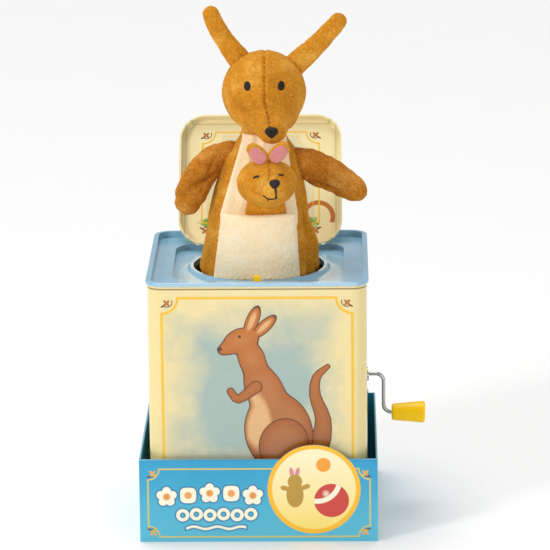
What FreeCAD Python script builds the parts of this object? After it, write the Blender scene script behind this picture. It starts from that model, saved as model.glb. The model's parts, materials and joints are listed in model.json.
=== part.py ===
"""A crank-driven jack in the box: a printed tin box in a card tray, with a plush kangaroo on a spring.

Millimetres, +Z up, +X towards the crank, -Y towards the front. The origin is on the floor, under the middle
of the tray. The lid stands open and the puppet is out of the box. The script writes one STEP file for each
sub-part.
"""

import FreeCAD
import Part
import math
import os

from FreeCAD import Vector

# ---- the box, its tray and its lid ---------------------------------------------------------------
TIN_T = 0.5             # tinplate
BOX_RIM_W = 140.0       # over the rolled rim of the top plate, square
RIM_OVERHANG = 1.2      # of the rim past the tin body, each side
BOX_H = 166.5           # underside of the tin to the top of the rim
BODY_CORNER_R = 10.0
RIM_H = 2.7             # height of the rolled rim's outer face
RIM_ROLL_W = 3.4        # width of the roll, seen from above
DECK_DROP = 4.0         # rim top to the flat deck
RIM_LIP = 1.2           # rim top to the tin body's upper edge, inside the roll
RIM_EDGE_R = 1.1
SEAM_W = 0.8            # thickness of the bottom seam outside the body
SEAM_H = 3.0
FLOOR_RISE = 3.5        # the base floor is pressed up by this much inside its seam
PAN_INSET = 1.5         # pressed-up floor to the inside of the tin wall
TRAY_BOARD = 1.0
TRAY_H = 54.0
TRAY_GAP = 5.3          # tin body to the tray's inside, each side
TRAY_FOLD_T = 3.0       # thickness of the folded front wall
BADGE_R = 29.0          # round tab that stands up from the tray's front
BADGE_X = 35.0
BADGE_RISE = 9.5        # of the tab above the tray's top edge
RECESS_W = 109.0        # pressed recess that takes the lid, across X
RECESS_L = 98.0         # and along Y
RECESS_R = 15.0
RECESS_DROP = 3.5       # deck to recess floor
HOLE_R = 42.0
BOSS_TOP_W = 2.0        # level top of the ring pressed up round the hole
BOSS_LID_GAP = 0.6      # foot of its slope to the inside of the closed lid
BOSS_RISE = 2.0
HOLE_FLANGE = 4.0
LID_GAP_SIDE = 1.6      # lid to the recess wall
LID_GAP_FRONT = 2.0
LID_GAP_BACK = 2.0
LID_H = 6.0
LID_FLOOR_GAP = 0.8     # closed lid to the recess floor
LID_R = 17.0
LID_CROWN_R = 1.6       # outer edge of the pressed lid
LID_BEAD = 0.7          # how far the lid's rolled edge stands out
LID_OPEN_DEG = 130.0
HINGE_UP = 3.6          # hinge axis above the foot of the closed lid
HINGE_SIDE_GAP = 0.4    # ends of the knuckles to their neighbours
PIN_R = 0.8
KNUCKLE_T = 0.5
KNUCKLE_L = 9.0
KNUCKLE_X = 30.0        # middle of each hinge, either side of the centre
RUN = 0.06              # radial clearance of a running fit
CATCH_W = 8.0
CATCH_L = 6.4
CATCH_T = 0.8
CATCH_UP = 0.4          # the shut catch above the deck

# ---- the crank and its knob ----------------------------------------------------------------------
CRANK_R = 1.2           # wire radius
CRANK_Z = 87.6          # above the underside of the tin
CRANK_THROW = 25.8
CRANK_OUT = 9.8         # rim face to the middle of the crank's arm
CRANK_BEND = 5.0
KNOB_L = 21.6
KNOB_R_IN = 5.3
KNOB_R_OUT = 7.2
KNOB_EDGE = 1.4
KNOB_WALL = 2.4         # closed end of the knob
BUSH_R = 3.0
BUSH_FLANGE_R = 4.4
BUSH_FLANGE_T = 1.0

# ---- the musical movement ------------------------------------------------------------------------
GEAR_MODULE = 0.7
PINION_TEETH = 14
DRUM_TEETH = 42
GEAR_W = 3.0
GEAR_PRESSURE_DEG = 25.0
GEAR_BACKLASH = 0.14
ADDENDUM = 0.8          # in modules
DEDENDUM = 1.15
DRUM_R = 7.0
DRUM_PIN_R = 0.35
DRUM_PIN_H = 0.8
PIN_TURNS = 9           # rows of pins along the drum
PINS_PER_ROW = 7
SHAFT_R = 1.2
MOVE_GAP = 0.4          # between neighbours along the shaft
SCREW_SINK = 5.0
PIN_SINK = 1.0
CAM_W = 2.4
CAM_R = 8.0
CAM_LIFT = 3.0
CAM_CLEAR = 0.3         # the lobe's path to the rocker's arm
PLATE_T = 1.3
FRAME_FRONT = 26.0      # drum axis to the front of the frame
FRAME_BACK = 11.0       # crank axis to the back of the frame
FRAME_UP = 13.0
FRAME_DOWN = 19.0
MOVE_IN = 25.2          # tin wall to the inner face of the inner plate
COMB_T = 1.0
COMB_TINE_GAP = 0.25
COMB_TINES = 9
COMB_BASE = 7.0
CLAMP_T = 1.2
SCREW_R = 1.1
SCREW_HEAD_R = 2.0
SCREW_HEAD_T = 1.2

# ---- the latch and its rocker --------------------------------------------------------------------
HOOK_W = 4.2
HOOK_T = 1.7
HOOK_NOSE = 2.0
HOOK_OVER = 0.3         # shut catch to the underside of the nose
HOOK_HUB_T = 1.3
HOOK_TOP = 4.4          # above the deck
ROCKER_R = 1.0
ROCKER_DROP = 13.5      # deck to the rocker's axis
ROCKER_LEFT = 9.0
BRACKET_T = 1.2
BRACKET_FOOT = 5.0      # length of the foot under the deck
BRACKET_DROP = 3.0      # below the rocker's axis
BRACKET_W = 8.0
BRACKET_X = (-6.5, 33.0)
SLOT_PLAY = 0.5
HOOK_SWING_DEG = 8.0

# ---- the puppet and its spring -------------------------------------------------------------------
SPRING_IN_HOLE = 27.0   # hole's radius over the coil's
SPRING_WIRE_R = 0.8
SPRING_TURNS = 14
BASE_DISC_R = 20.0
BASE_DISC_T = 2.0
CAP_RIM = 1.0
CAP_T = 3.0
CLOTH_T = 1.5
DECK_TO_TORSO = 5.5     # torso's lower edge below the deck
TORSO_H = 82.0
FOOT_IN_HOLE = (4.4, 6.4)       # hole's radius over the torso's half widths across X and Y, at the foot
MIDDLE_IN_HOLE = (9.4, 17.0)    # the same at the torso's middle
TORSO_SHOULDER = (21.0, 18.5)   # half widths across X and Y
TORSO_MIDDLE_AT = 0.33
TORSO_LEAN_X = 2.5      # the shoulders lean this far towards the crank
SKIRT_FOOT_R = 22.0
HEAD_R = 26.6
HEAD_AT = (4.4, -1.5, 111.5)    # above the deck
MUZZLE = ((6.5, -12.0, 102.0), 15.5, (9.6, -30.4, 93.2), 9.2)   # a ball at each end and a taper between
NECK_R = 13.0
NOSE = (4.3, 2.4, 3.7)
NOSE_AT = (9.6, -38.1, 92.6)
EYE = (2.4, 1.6, 3.2)
EYE_AT = ((-5.6, -24.3, 119.5), (15.8, -23.9, 119.5))
EAR_R = (6.0, 5.0)              # at the root and near the tip
EARS = (((-11.5, 0.0, 132.0), (-29.0, 1.5, 163.0)), ((23.8, 0.0, 130.5), (50.5, 1.5, 158.5)))
EAR_FLAT = 0.62                 # thickness of an ear over its width
ARM_LEFT = ((-27.6, -2.0, 70.0), 6.2, (-44.5, -9.0, 44.0), 9.3)
ARM_RIGHT = ((34.2, -2.0, 64.0), 6.6, (69.0, -8.0, 49.0), 10.0)
BIB_T = 0.9
BIB_HALF_W = 17.5
POUCH_IN_HOLE = 1.6     # hole's radius over the reach of the pouch's front face
POUCH_HALF_W = 27.0
POUCH_T = 1.9
POUCH_H = 43.5
POUCH_FOOT = 2.0        # pouch's foot above the torso's lower edge

# ---- the baby finger puppet ----------------------------------------------------------------------
BABY_HEAD_R = 14.4
BABY_HEAD_SPREAD = 4.3          # the head is a ball drawn out sideways by this much each way
BABY_HEAD_AT = (6.2, 0.8, 62.6)     # across, back from the pouch's front face, and above the deck
BABY_BODY = (13.0, 5.2)         # half widths of the flattened sleeve
BABY_BODY_AT = (5.4, 9.2)
BABY_BODY_FOOT = 21.5           # above the deck
BABY_CLOTH = 1.4
BABY_NOSE_R = 2.9
BABY_NOSE_AT = (12.2, -14.8, 64.6)
BABY_EAR = (6.6, 7.6)           # half width and half height
BABY_EAR_T = 4.0
BABY_EARS_AT = ((0.6, -6.1, 79.5), (14.6, -6.1, 80.7))
BABY_EAR_TILTS = (-18.0, 24.0)
LINING_SCALE = 0.72
LINING_T = 0.8

# ---- places worked out from the sizes above ------------------------------------------------------
TIN_Z = TRAY_BOARD                                  # underside of the tin
BODY_W = BOX_RIM_W - 2 * RIM_OVERHANG
BODY_IN = BODY_W / 2 - TIN_T                        # inside face of the tin wall
RIM_Z = TIN_Z + BOX_H
DECK_Z = RIM_Z - DECK_DROP
RECESS_Z = DECK_Z - RECESS_DROP
FLOOR_Z = TIN_Z + FLOOR_RISE + TIN_T                # upper face of the base floor
TRAY_W = BODY_W + 2 * (TRAY_GAP + TRAY_BOARD)
LID_W = RECESS_W - 2 * LID_GAP_SIDE
LID_BACK_Y = RECESS_L / 2 - LID_GAP_BACK
LID_L = RECESS_L - LID_GAP_BACK - LID_GAP_FRONT
LID_FOOT_Z = RECESS_Z + LID_FLOOR_GAP
BOSS_FOOT_R = LID_L - LID_BACK_Y - TIN_T - BOSS_LID_GAP
KNUCKLE_R = PIN_R + RUN + KNUCKLE_T
HINGE_Y = LID_BACK_Y - KNUCKLE_R                    # the curls lie flush with the lid's back face
HINGE_Z = LID_FOOT_Z + HINGE_UP
HINGE_END_X = KNUCKLE_X + KNUCKLE_L / 2
CRANK_AXIS_Z = TIN_Z + CRANK_Z
ARM_X = BOX_RIM_W / 2 + CRANK_OUT
KNOB_X = ARM_X + CRANK_BEND + 0.2
GEAR_CENTRES = GEAR_MODULE * (PINION_TEETH + DRUM_TEETH) / 2
DRUM_Y = -GEAR_CENTRES                              # the drum lies in front of the crank
PLATE_OUT_X = BODY_IN - PLATE_T                     # inner face of the plate on the tin wall
PLATE_IN_X = BODY_IN - MOVE_IN                      # inner face of the other plate, towards the puppet
GEAR_X = PLATE_OUT_X - BUSH_FLANGE_T - GEAR_W - 0.6
CAM_X = PLATE_IN_X + PLATE_T + MOVE_GAP
DRUM_X = CAM_X + CAM_W
DRUM_L = GEAR_X - DRUM_X
COMB_Y = DRUM_Y - DRUM_R - DRUM_PIN_H - COMB_TINE_GAP   # tips of the comb's tines
COMB_BACK_Y = DRUM_Y - FRAME_FRONT + 1.0                # and its far edge
BRIDGE_Z = CRANK_AXIS_Z - FRAME_DOWN
CATCH_END_Y = LID_BACK_Y - LID_L - CATCH_L
HOOK_Y = CATCH_END_Y - 0.5 - HOOK_T / 2             # middle of the hook's shank
ROCKER_Z = DECK_Z - ROCKER_DROP
ROCKER_RIGHT = CAM_X + CAM_W / 2
TORSO_Z = DECK_Z - DECK_TO_TORSO
TORSO_TOP = TORSO_Z + TORSO_H
SPRING_R = HOLE_R - SPRING_IN_HOLE
CAP_R = SPRING_R + CAP_RIM
TORSO_FOOT = tuple(HOLE_R - gap for gap in FOOT_IN_HOLE)        # half widths across X and Y
TORSO_MIDDLE = tuple(HOLE_R - gap for gap in MIDDLE_IN_HOLE)
POUCH_FRONT = HOLE_R - POUCH_IN_HOLE                            # from the middle of the box
DISC_Z = FLOOR_Z
SPRING_Z = DISC_Z + BASE_DISC_T
CAP_Z = TORSO_TOP - CLOTH_T - CAP_T

X = Vector(1, 0, 0)
Y = Vector(0, 1, 0)
Z = Vector(0, 0, 1)


# ---- helpers -------------------------------------------------------------------------------------
def save(name, shape):
    """Writes a sub-part to parts/, after checking that it is made of closed solids."""
    solids = shape.Solids
    if not solids or not all(s.isValid() and s.Volume > 0 for s in solids):
        raise ValueError(name + " isn't made of valid solids")
    Part.makeCompound(solids).exportStep("parts/" + name + ".step")


def rounded_block(width, depth, radius, z0, z1, at=(0.0, 0.0)):
    """An upright block with rounded corners, from z0 to z1, with its middle over at."""
    block = Part.makeBox(width, depth, z1 - z0, Vector(at[0] - width / 2, at[1] - depth / 2, z0))
    upright = [e for e in block.Edges if abs(e.tangentAt(e.FirstParameter).z) > 0.99]
    return block.makeFillet(radius, upright)


def box(x0, x1, y0, y1, z0, z1):
    return Part.makeBox(x1 - x0, y1 - y0, z1 - z0, Vector(x0, y0, z0))


def rod(radius, start, end):
    """A round bar from start to end."""
    a, b = Vector(*start), Vector(*end)
    return Part.makeCylinder(radius, (b - a).Length, a, b - a)


def ellipsoid(half, at):
    """A closed ellipsoid of the given half sizes."""
    ball = Part.makeSphere(1.0)
    stretch = FreeCAD.Matrix()
    stretch.scale(*half)
    shape = ball.transformGeometry(stretch)
    shape.translate(Vector(*at))
    return shape


def capsule(start, r0, end, r1, flat=1.0):
    """A stuffed limb: two round ends joined by a taper, thinned front to back by flat."""
    a, b = Vector(*start), Vector(*end)
    along = (b - a).Length
    lift = (r0 - r1) / along
    side = math.sqrt(1 - lift * lift)
    foot, top = Vector(0, 0, -r0), Vector(0, 0, along + r1)
    low, high = Vector(r0 * side, 0, r0 * lift), Vector(r1 * side, 0, along + r1 * lift)
    turn = math.pi / 4 - math.asin(lift) / 2
    low_mid = Vector(r0 * math.sin(turn), 0, -r0 * math.cos(turn))
    turn = math.pi / 4 + math.asin(lift) / 2
    high_mid = Vector(r1 * math.sin(turn), 0, along + r1 * math.cos(turn))
    outline = Part.Wire([
        Part.Arc(foot, low_mid, low).toShape(),
        Part.makeLine(low, high),
        Part.Arc(high, high_mid, top).toShape(),
        Part.makeLine(top, foot),
    ])
    limb = Part.Face(outline).revolve(Vector(), Z, 360)
    if flat != 1.0:
        squeeze = FreeCAD.Matrix()
        squeeze.scale(1.0, flat, 1.0)
        limb = limb.transformGeometry(squeeze)
    limb.Placement = FreeCAD.Placement(a, FreeCAD.Rotation(Z, b - a))
    return limb


def on_deck(point):
    """A point whose height is given above the deck."""
    return (point[0], point[1], point[2] + DECK_Z)


def at_pouch(point):
    """A point given across, back from the pouch's front face, and above the deck."""
    return on_deck((point[0], point[1] - POUCH_FRONT, point[2]))


def oval(half_x, half_y, z, shift_x=0.0):
    """A closed wire: an ellipse in a level plane."""
    centre = Vector(shift_x, 0, z)
    long_x = half_x >= half_y
    ends = (X, Y) if long_x else (Y, X)
    big, small = max(half_x, half_y), min(half_x, half_y)
    curve = Part.Ellipse(centre + ends[0] * big, centre + ends[1] * small, centre)
    return Part.Wire([curve.toShape()])


def torso_form(grow=0.0):
    """The closed form of the puppet's body above the deck, grown outwards by grow."""
    heights = (0.0, TORSO_MIDDLE_AT * TORSO_H, TORSO_H)
    halves = (TORSO_FOOT, TORSO_MIDDLE, TORSO_SHOULDER)
    shifts = (0.0, TORSO_MIDDLE_AT * TORSO_LEAN_X, TORSO_LEAN_X)
    wires = [
        oval(half[0] + grow, half[1] + grow, TORSO_Z + height, shift)
        for height, half, shift in zip(heights, halves, shifts)
    ]
    return Part.makeLoft(wires, True)


def involute(radius, base):
    """Polar angle of an involute of the base circle, where it reaches radius."""
    if radius <= base:
        return 0.0
    roll = math.sqrt((radius / base) ** 2 - 1)
    return roll - math.atan(roll)


def spur_gear(teeth, width, x0, at, first_deg):
    """A spur gear about a line along X, with a tooth in the YZ direction first_deg, width wide from x0."""
    pitch = GEAR_MODULE * teeth / 2
    base = pitch * math.cos(math.radians(GEAR_PRESSURE_DEG))
    tip = pitch + ADDENDUM * GEAR_MODULE
    root = pitch - DEDENDUM * GEAR_MODULE
    half_tooth = (math.pi * GEAR_MODULE / 2 - GEAR_BACKLASH) / 2 / pitch
    start = max(base, root)
    radii = [start + (tip - start) * i / 5 for i in range(6)]

    def point(radius, angle):
        return Vector(x0, at[0] + radius * math.cos(angle), at[1] + radius * math.sin(angle))

    edges = []
    for n in range(teeth):
        middle = math.radians(first_deg) + 2 * math.pi * n / teeth
        after = middle + 2 * math.pi / teeth
        lean = [half_tooth + involute(pitch, base) - involute(r, base) for r in radii]
        flank_up = [point(r, middle - a) for r, a in zip(radii, lean)]
        flank_down = [point(r, middle + a) for r, a in zip(reversed(radii), reversed(lean))]
        foot = point(root, middle - lean[0])
        if start > root:
            edges.append(Part.makeLine(foot, flank_up[0]))
        edges.append(Part.BSplineCurve(flank_up).toShape())
        edges.append(Part.Arc(flank_up[-1], point(tip, middle), flank_down[0]).toShape())
        edges.append(Part.BSplineCurve(flank_down).toShape())
        leave = point(root, middle + lean[0])
        if start > root:
            edges.append(Part.makeLine(flank_down[-1], leave))
        gap = point(root, (middle + after) / 2)
        edges.append(Part.Arc(leave, gap, point(root, after - lean[0])).toShape())
    outline = Part.Wire(Part.__sortEdges__(edges))
    return Part.Face(outline).extrude(X * width)


def wire_path(points, bend):
    """Straight runs through points, joined by arcs of radius bend."""
    spots = [Vector(*p) for p in points]
    edges = []
    here = spots[0]
    for before, corner, after in zip(spots, spots[1:], spots[2:]):
        come = (corner - before).normalize()
        go = (after - corner).normalize()
        half_turn = come.getAngle(go) / 2
        setback = bend * math.tan(half_turn)
        start, end = corner - come * setback, corner + go * setback
        inward = (go - come).normalize()
        middle = corner + inward * (bend / math.cos(half_turn) - bend)
        edges.append(Part.makeLine(here, start))
        edges.append(Part.Arc(start, middle, end).toShape())
        here = end
    edges.append(Part.makeLine(here, spots[-1]))
    return Part.Wire(edges)


def bent_wire(points, radius, bend):
    """A round wire that follows points."""
    path = wire_path(points, bend)
    start = Vector(*points[0])
    aim = Vector(*points[1]) - start
    section = Part.Wire([Part.makeCircle(radius, start, aim)])
    return path.makePipeShell([section], True, False)


# ---- the tray and the tin ------------------------------------------------------------------------
def display_tray():
    """An open card tray with a folded front wall and a round tab."""
    half = TRAY_W / 2
    tray = box(-half, half, -half, half, 0, TRAY_H)
    side = half - TRAY_BOARD
    tray = tray.cut(box(-side, side, -half + TRAY_FOLD_T, side, TRAY_BOARD, TRAY_H + 1))
    front_top = [
        e for e in tray.Edges
        if all(abs(v.Z - TRAY_H) < 1e-6 for v in e.Vertexes)
        and all(v.Y < -half + TRAY_FOLD_T + 1e-6 for v in e.Vertexes)
        and abs(e.tangentAt(e.FirstParameter).x) > 0.99
    ]
    tray = tray.makeFillet(TRAY_FOLD_T * 0.4, front_top)
    badge_z = TRAY_H + BADGE_RISE - BADGE_R
    tab = Part.makeCylinder(BADGE_R, TRAY_BOARD, Vector(BADGE_X, -half, badge_z), Y)
    return tray.fuse(tab).removeSplitter()


def tin_body():
    """The wrapped side walls, with the hole for the crank's bush."""
    low, high = TIN_Z + TIN_T, RIM_Z - RIM_LIP
    walls = rounded_block(BODY_W, BODY_W, BODY_CORNER_R, low, high)
    inner_w = BODY_W - 2 * TIN_T
    walls = walls.cut(rounded_block(inner_w, inner_w, BODY_CORNER_R - TIN_T, low - 1, high + 1))
    hole = rod(BUSH_R, (0, 0, CRANK_AXIS_Z), (BODY_W, 0, CRANK_AXIS_Z))
    for spot in wall_screw_spots():
        hole = hole.fuse(rod(SCREW_R, (BODY_IN - 5, *spot), (BODY_W, *spot)))
    return walls.cut(hole)


def bottom_plate():
    """The base, seamed round the foot of the walls, with its floor pressed up."""
    outer_w = BODY_W + 2 * SEAM_W
    plate = rounded_block(outer_w, outer_w, BODY_CORNER_R + SEAM_W, TIN_Z, TIN_Z + SEAM_H)
    plate = plate.cut(rounded_block(BODY_W, BODY_W, BODY_CORNER_R, TIN_Z + TIN_T, TIN_Z + SEAM_H + 1))
    pan_w = BODY_W - 2 * (TIN_T + PAN_INSET)
    pan_r = BODY_CORNER_R - TIN_T - PAN_INSET
    plate = plate.fuse(rounded_block(pan_w, pan_w, pan_r, TIN_Z, FLOOR_Z))
    under_w = pan_w - 2 * TIN_T
    return plate.cut(rounded_block(under_w, under_w, pan_r - TIN_T, TIN_Z - 1, FLOOR_Z - TIN_T))


def top_plate():
    """The pressed top: rolled rim, deck, recess for the lid, raised ring, hole and two hinge knuckles."""
    rim_z0 = RIM_Z - RIM_H
    roll_in = BOX_RIM_W - 2 * RIM_ROLL_W
    corner = BODY_CORNER_R + RIM_OVERHANG
    body_in_w = 2 * BODY_IN
    plate = rounded_block(BOX_RIM_W, BOX_RIM_W, corner, rim_z0, RIM_Z)
    top_edges = [e for e in plate.Edges if all(abs(v.Z - RIM_Z) < 1e-6 for v in e.Vertexes)]
    low_edges = [e for e in plate.Edges if all(abs(v.Z - rim_z0) < 1e-6 for v in e.Vertexes)]
    plate = plate.makeFillet(RIM_EDGE_R, top_edges + low_edges)
    body_in_r = BODY_CORNER_R - TIN_T
    plate = plate.fuse(rounded_block(body_in_w, body_in_w, body_in_r, DECK_Z - TIN_T, RIM_Z - TIN_T))
    slot = rounded_block(BODY_W, BODY_W, BODY_CORNER_R, rim_z0 - 1, RIM_Z - RIM_LIP)
    slot = slot.cut(rounded_block(body_in_w, body_in_w, body_in_r, rim_z0 - 1, RIM_Z))
    plate = plate.cut(slot)
    # the recess and its ring hang below the deck
    floor_low = RECESS_Z - TIN_T
    recess = rounded_block(RECESS_W + 2 * TIN_T, RECESS_L + 2 * TIN_T, RECESS_R + TIN_T, floor_low, DECK_Z)
    plate = plate.fuse(recess)
    ring_r = HOLE_R + BOSS_TOP_W
    boss = Part.makeCone(BOSS_FOOT_R, ring_r, BOSS_RISE, Vector(0, 0, RECESS_Z))
    top_cut = rounded_block(roll_in, roll_in, corner - RIM_ROLL_W, DECK_Z, RIM_Z + 1)
    recess_cut = rounded_block(RECESS_W, RECESS_L, RECESS_R, RECESS_Z, DECK_Z + 1).cut(boss)
    plate = plate.cut(top_cut).cut(recess_cut)
    under = Part.makeCone(BOSS_FOOT_R, ring_r, BOSS_RISE, Vector(0, 0, floor_low))
    plate = plate.cut(under)
    flange = Part.makeCylinder(HOLE_R + TIN_T, HOLE_FLANGE, Vector(0, 0, RECESS_Z + BOSS_RISE - HOLE_FLANGE))
    plate = plate.fuse(flange)
    plate = plate.cut(Part.makeCylinder(HOLE_R, DECK_DROP + 30, Vector(0, 0, RECESS_Z - 15)))
    # the latch's slot
    travel = (DECK_Z - ROCKER_Z) * math.sin(math.radians(HOOK_SWING_DEG))
    plate = plate.cut(
        box(
            -HOOK_W / 2 - SLOT_PLAY, HOOK_W / 2 + SLOT_PLAY,
            HOOK_Y - HOOK_T / 2 - travel - SLOT_PLAY, HOOK_Y + HOOK_T / 2 + SLOT_PLAY,
            DECK_Z - 3 * TIN_T, DECK_Z + 1,
        )
    )
    for side in (-1, 1):
        plate = plate.fuse(knuckle(side * KNUCKLE_X))
    return plate.cut(hinge_bore()).removeSplitter()


def hinge_bore():
    """The running bore for the pins, through every knuckle."""
    return rod(PIN_R + RUN, (-2 * KNUCKLE_X, HINGE_Y, HINGE_Z), (2 * KNUCKLE_X, HINGE_Y, HINGE_Z))


def knuckle(middle_x):
    """A curl round the hinge's axis, on a tab that stands up from the recess floor in front of it."""
    x0, x1 = middle_x - KNUCKLE_L / 2, middle_x + KNUCKLE_L / 2
    curl = rod(KNUCKLE_R, (x0, HINGE_Y, HINGE_Z), (x1, HINGE_Y, HINGE_Z))
    tab_y = HINGE_Y - KNUCKLE_R
    return curl.fuse(box(x0, x1, tab_y, tab_y + KNUCKLE_T, RECESS_Z - TIN_T / 2, HINGE_Z))


def lid():
    """The pressed lid, modelled shut and then swung open about its hinge."""
    top = LID_FOOT_Z + LID_H
    middle = (0.0, LID_BACK_Y - LID_L / 2)
    shell = rounded_block(LID_W, LID_L, LID_R, LID_FOOT_Z, top, middle)
    crown = [e for e in shell.Edges if all(abs(v.Z - top) < 1e-6 for v in e.Vertexes)]
    shell = shell.makeFillet(LID_CROWN_R, crown)
    bead_top = LID_FOOT_Z + 2 * LID_BEAD
    bead = rounded_block(
        LID_W + 2 * LID_BEAD, LID_L + 2 * LID_BEAD, LID_R + LID_BEAD, LID_FOOT_Z, bead_top, middle
    )
    hollow = rounded_block(
        LID_W - 2 * TIN_T, LID_L - 2 * TIN_T, LID_R - TIN_T, LID_FOOT_Z - 1, top - TIN_T, middle
    )
    ceiling = [e for e in hollow.Edges if all(abs(v.Z - top + TIN_T) < 1e-6 for v in e.Vertexes)]
    shell = shell.fuse(bead).cut(hollow.makeFillet(LID_CROWN_R - TIN_T, ceiling))
    front = LID_BACK_Y - LID_L
    catch_z = DECK_Z + CATCH_UP
    shell = shell.fuse(
        box(-CATCH_W / 2, CATCH_W / 2, CATCH_END_Y, front + TIN_T, catch_z, catch_z + CATCH_T)
    )
    # the back wall is cut away as far as the hinges reach, and higher where the plate's knuckles stand
    reach = HINGE_END_X + 2 * HINGE_SIDE_GAP
    inner_y = LID_BACK_Y - 2 * TIN_T
    outer_y = LID_BACK_Y + 2 * LID_BEAD
    shell = shell.cut(box(-reach, reach, inner_y, outer_y, LID_FOOT_Z - 1, HINGE_Z))
    for side in (-1, 1):
        x0 = side * KNUCKLE_X - KNUCKLE_L / 2 - HINGE_SIDE_GAP
        x1 = side * KNUCKLE_X + KNUCKLE_L / 2 + HINGE_SIDE_GAP
        notch_top = HINGE_Z + KNUCKLE_R + HINGE_SIDE_GAP / 2
        shell = shell.cut(box(x0, x1, inner_y, outer_y, LID_FOOT_Z - 1, notch_top))
    # one curl of the lid's own beside each of them
    for side in (-1, 1):
        middle_x = side * (KNUCKLE_X - KNUCKLE_L - HINGE_SIDE_GAP)
        x0, x1 = middle_x - KNUCKLE_L / 2, middle_x + KNUCKLE_L / 2
        shell = shell.fuse(rod(KNUCKLE_R, (x0, HINGE_Y, HINGE_Z), (x1, HINGE_Y, HINGE_Z)))
    shell = shell.cut(hinge_bore()).removeSplitter()
    shell.rotate(Vector(0, HINGE_Y, HINGE_Z), X, -LID_OPEN_DEG)
    return shell


def hinge_pins():
    """Two short wires, one in each hinge."""
    pins = []
    for side in (-1, 1):
        inner = side * (HINGE_END_X - 2 * KNUCKLE_L - 3 * HINGE_SIDE_GAP)
        outer = side * (HINGE_END_X + HINGE_SIDE_GAP)
        pins.append(rod(PIN_R, (inner, HINGE_Y, HINGE_Z), (outer, HINGE_Y, HINGE_Z)))
    return Part.makeCompound(pins)


# ---- the crank -----------------------------------------------------------------------------------
def crank_rod():
    """The bent wire: the shaft, its arm and the journal inside the knob."""
    low_z = CRANK_AXIS_Z - CRANK_THROW
    points = (
        (PLATE_IN_X + 0.2, 0, CRANK_AXIS_Z),
        (ARM_X, 0, CRANK_AXIS_Z),
        (ARM_X, 0, low_z),
        (KNOB_X + KNOB_L - KNOB_WALL - 0.4, 0, low_z),
    )
    return bent_wire(points, CRANK_R, CRANK_BEND)


def crank_knob():
    """A tapered knob, loose on the end of the wire."""
    z = CRANK_AXIS_Z - CRANK_THROW
    knob = Part.makeCone(KNOB_R_IN, KNOB_R_OUT, KNOB_L, Vector(KNOB_X, 0, z), X)
    ends = [e for e in knob.Edges if len(e.Vertexes) == 1 and abs(e.tangentAt(e.FirstParameter).x) < 1e-6]
    knob = knob.makeFillet(KNOB_EDGE, ends)
    return knob.cut(rod(CRANK_R + RUN, (KNOB_X - 1, 0, z), (KNOB_X + KNOB_L - KNOB_WALL, 0, z)))


def crank_bush():
    """The bush in the tin wall, clinched behind the movement's plate."""
    bush = rod(BUSH_R, (PLATE_OUT_X - 0.1, 0, CRANK_AXIS_Z), (BODY_W / 2 + 0.1, 0, CRANK_AXIS_Z))
    for x0 in (BODY_W / 2, PLATE_OUT_X - BUSH_FLANGE_T):
        bush = bush.fuse(rod(BUSH_FLANGE_R, (x0, 0, CRANK_AXIS_Z), (x0 + BUSH_FLANGE_T, 0, CRANK_AXIS_Z)))
    return bush.cut(rod(CRANK_R + RUN, (0, 0, CRANK_AXIS_Z), (BODY_W, 0, CRANK_AXIS_Z)))


# ---- the musical movement ------------------------------------------------------------------------
def wall_screw_spots():
    """(y, z) of the two screws that hold the movement to the tin wall."""
    return (
        (DRUM_Y - FRAME_FRONT + 6.0, CRANK_AXIS_Z + FRAME_UP - 4.0),
        (FRAME_BACK - 4.0, CRANK_AXIS_Z - FRAME_DOWN + 5.0),
    )


def movement_frame():
    """Two bearing plates joined by a bridge, with a block under the comb."""
    y0, y1 = DRUM_Y - FRAME_FRONT, FRAME_BACK
    z0, z1 = BRIDGE_Z, CRANK_AXIS_Z + FRAME_UP
    frame = box(PLATE_OUT_X, BODY_IN, y0, y1, z0, z1)
    frame = frame.fuse(box(PLATE_IN_X, PLATE_IN_X + PLATE_T, y0, y1, z0, z1))
    frame = frame.fuse(box(PLATE_IN_X, BODY_IN, y0, y1, z0, z0 + PLATE_T))
    frame = frame.fuse(box(DRUM_X, GEAR_X - MOVE_GAP, y0, y0 + COMB_BASE + 1.0, z0, CRANK_AXIS_Z - COMB_T))
    for y in (0.0, DRUM_Y):
        radius = CRANK_R if y == 0.0 else SHAFT_R
        bore = rod(radius + RUN, (PLATE_IN_X - 1, y, CRANK_AXIS_Z), (BODY_IN + 1, y, CRANK_AXIS_Z))
        frame = frame.cut(bore)
    frame = frame.cut(rod(BUSH_R, (PLATE_OUT_X - 1, 0, CRANK_AXIS_Z), (BODY_IN + 1, 0, CRANK_AXIS_Z)))
    for spot in wall_screw_spots():
        frame = frame.cut(rod(SCREW_R, (PLATE_OUT_X - 1, *spot), (BODY_IN + 1, *spot)))
    for x, y in comb_screw_spots():
        frame = frame.cut(rod(SCREW_R, (x, y, CRANK_AXIS_Z - COMB_T - SCREW_SINK), (x, y, CRANK_AXIS_Z)))
    return frame


def comb_screw_spots():
    """(x, y) of the comb's screws."""
    y = COMB_BACK_Y + COMB_BASE / 2
    return ((DRUM_X + DRUM_L * 0.22, y), (DRUM_X + DRUM_L * 0.78, y))


def movement_comb():
    """The steel comb, with its tines up to the drum's pins."""
    z0, z1 = CRANK_AXIS_Z - COMB_T, CRANK_AXIS_Z
    x0, x1 = DRUM_X + MOVE_GAP, DRUM_X + DRUM_L - 2 * MOVE_GAP
    comb = box(x0, x1, COMB_BACK_Y, COMB_Y, z0, z1)
    pitch = (x1 - x0) / COMB_TINES
    for n in range(1, COMB_TINES):
        x = x0 + n * pitch
        comb = comb.cut(box(x - 0.15, x + 0.15, COMB_BACK_Y + COMB_BASE, COMB_Y + 1, z0 - 1, z1 + 1))
    for x, y in comb_screw_spots():
        comb = comb.cut(rod(SCREW_R, (x, y, z0 - 1), (x, y, z1 + 1)))
    return comb


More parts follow.
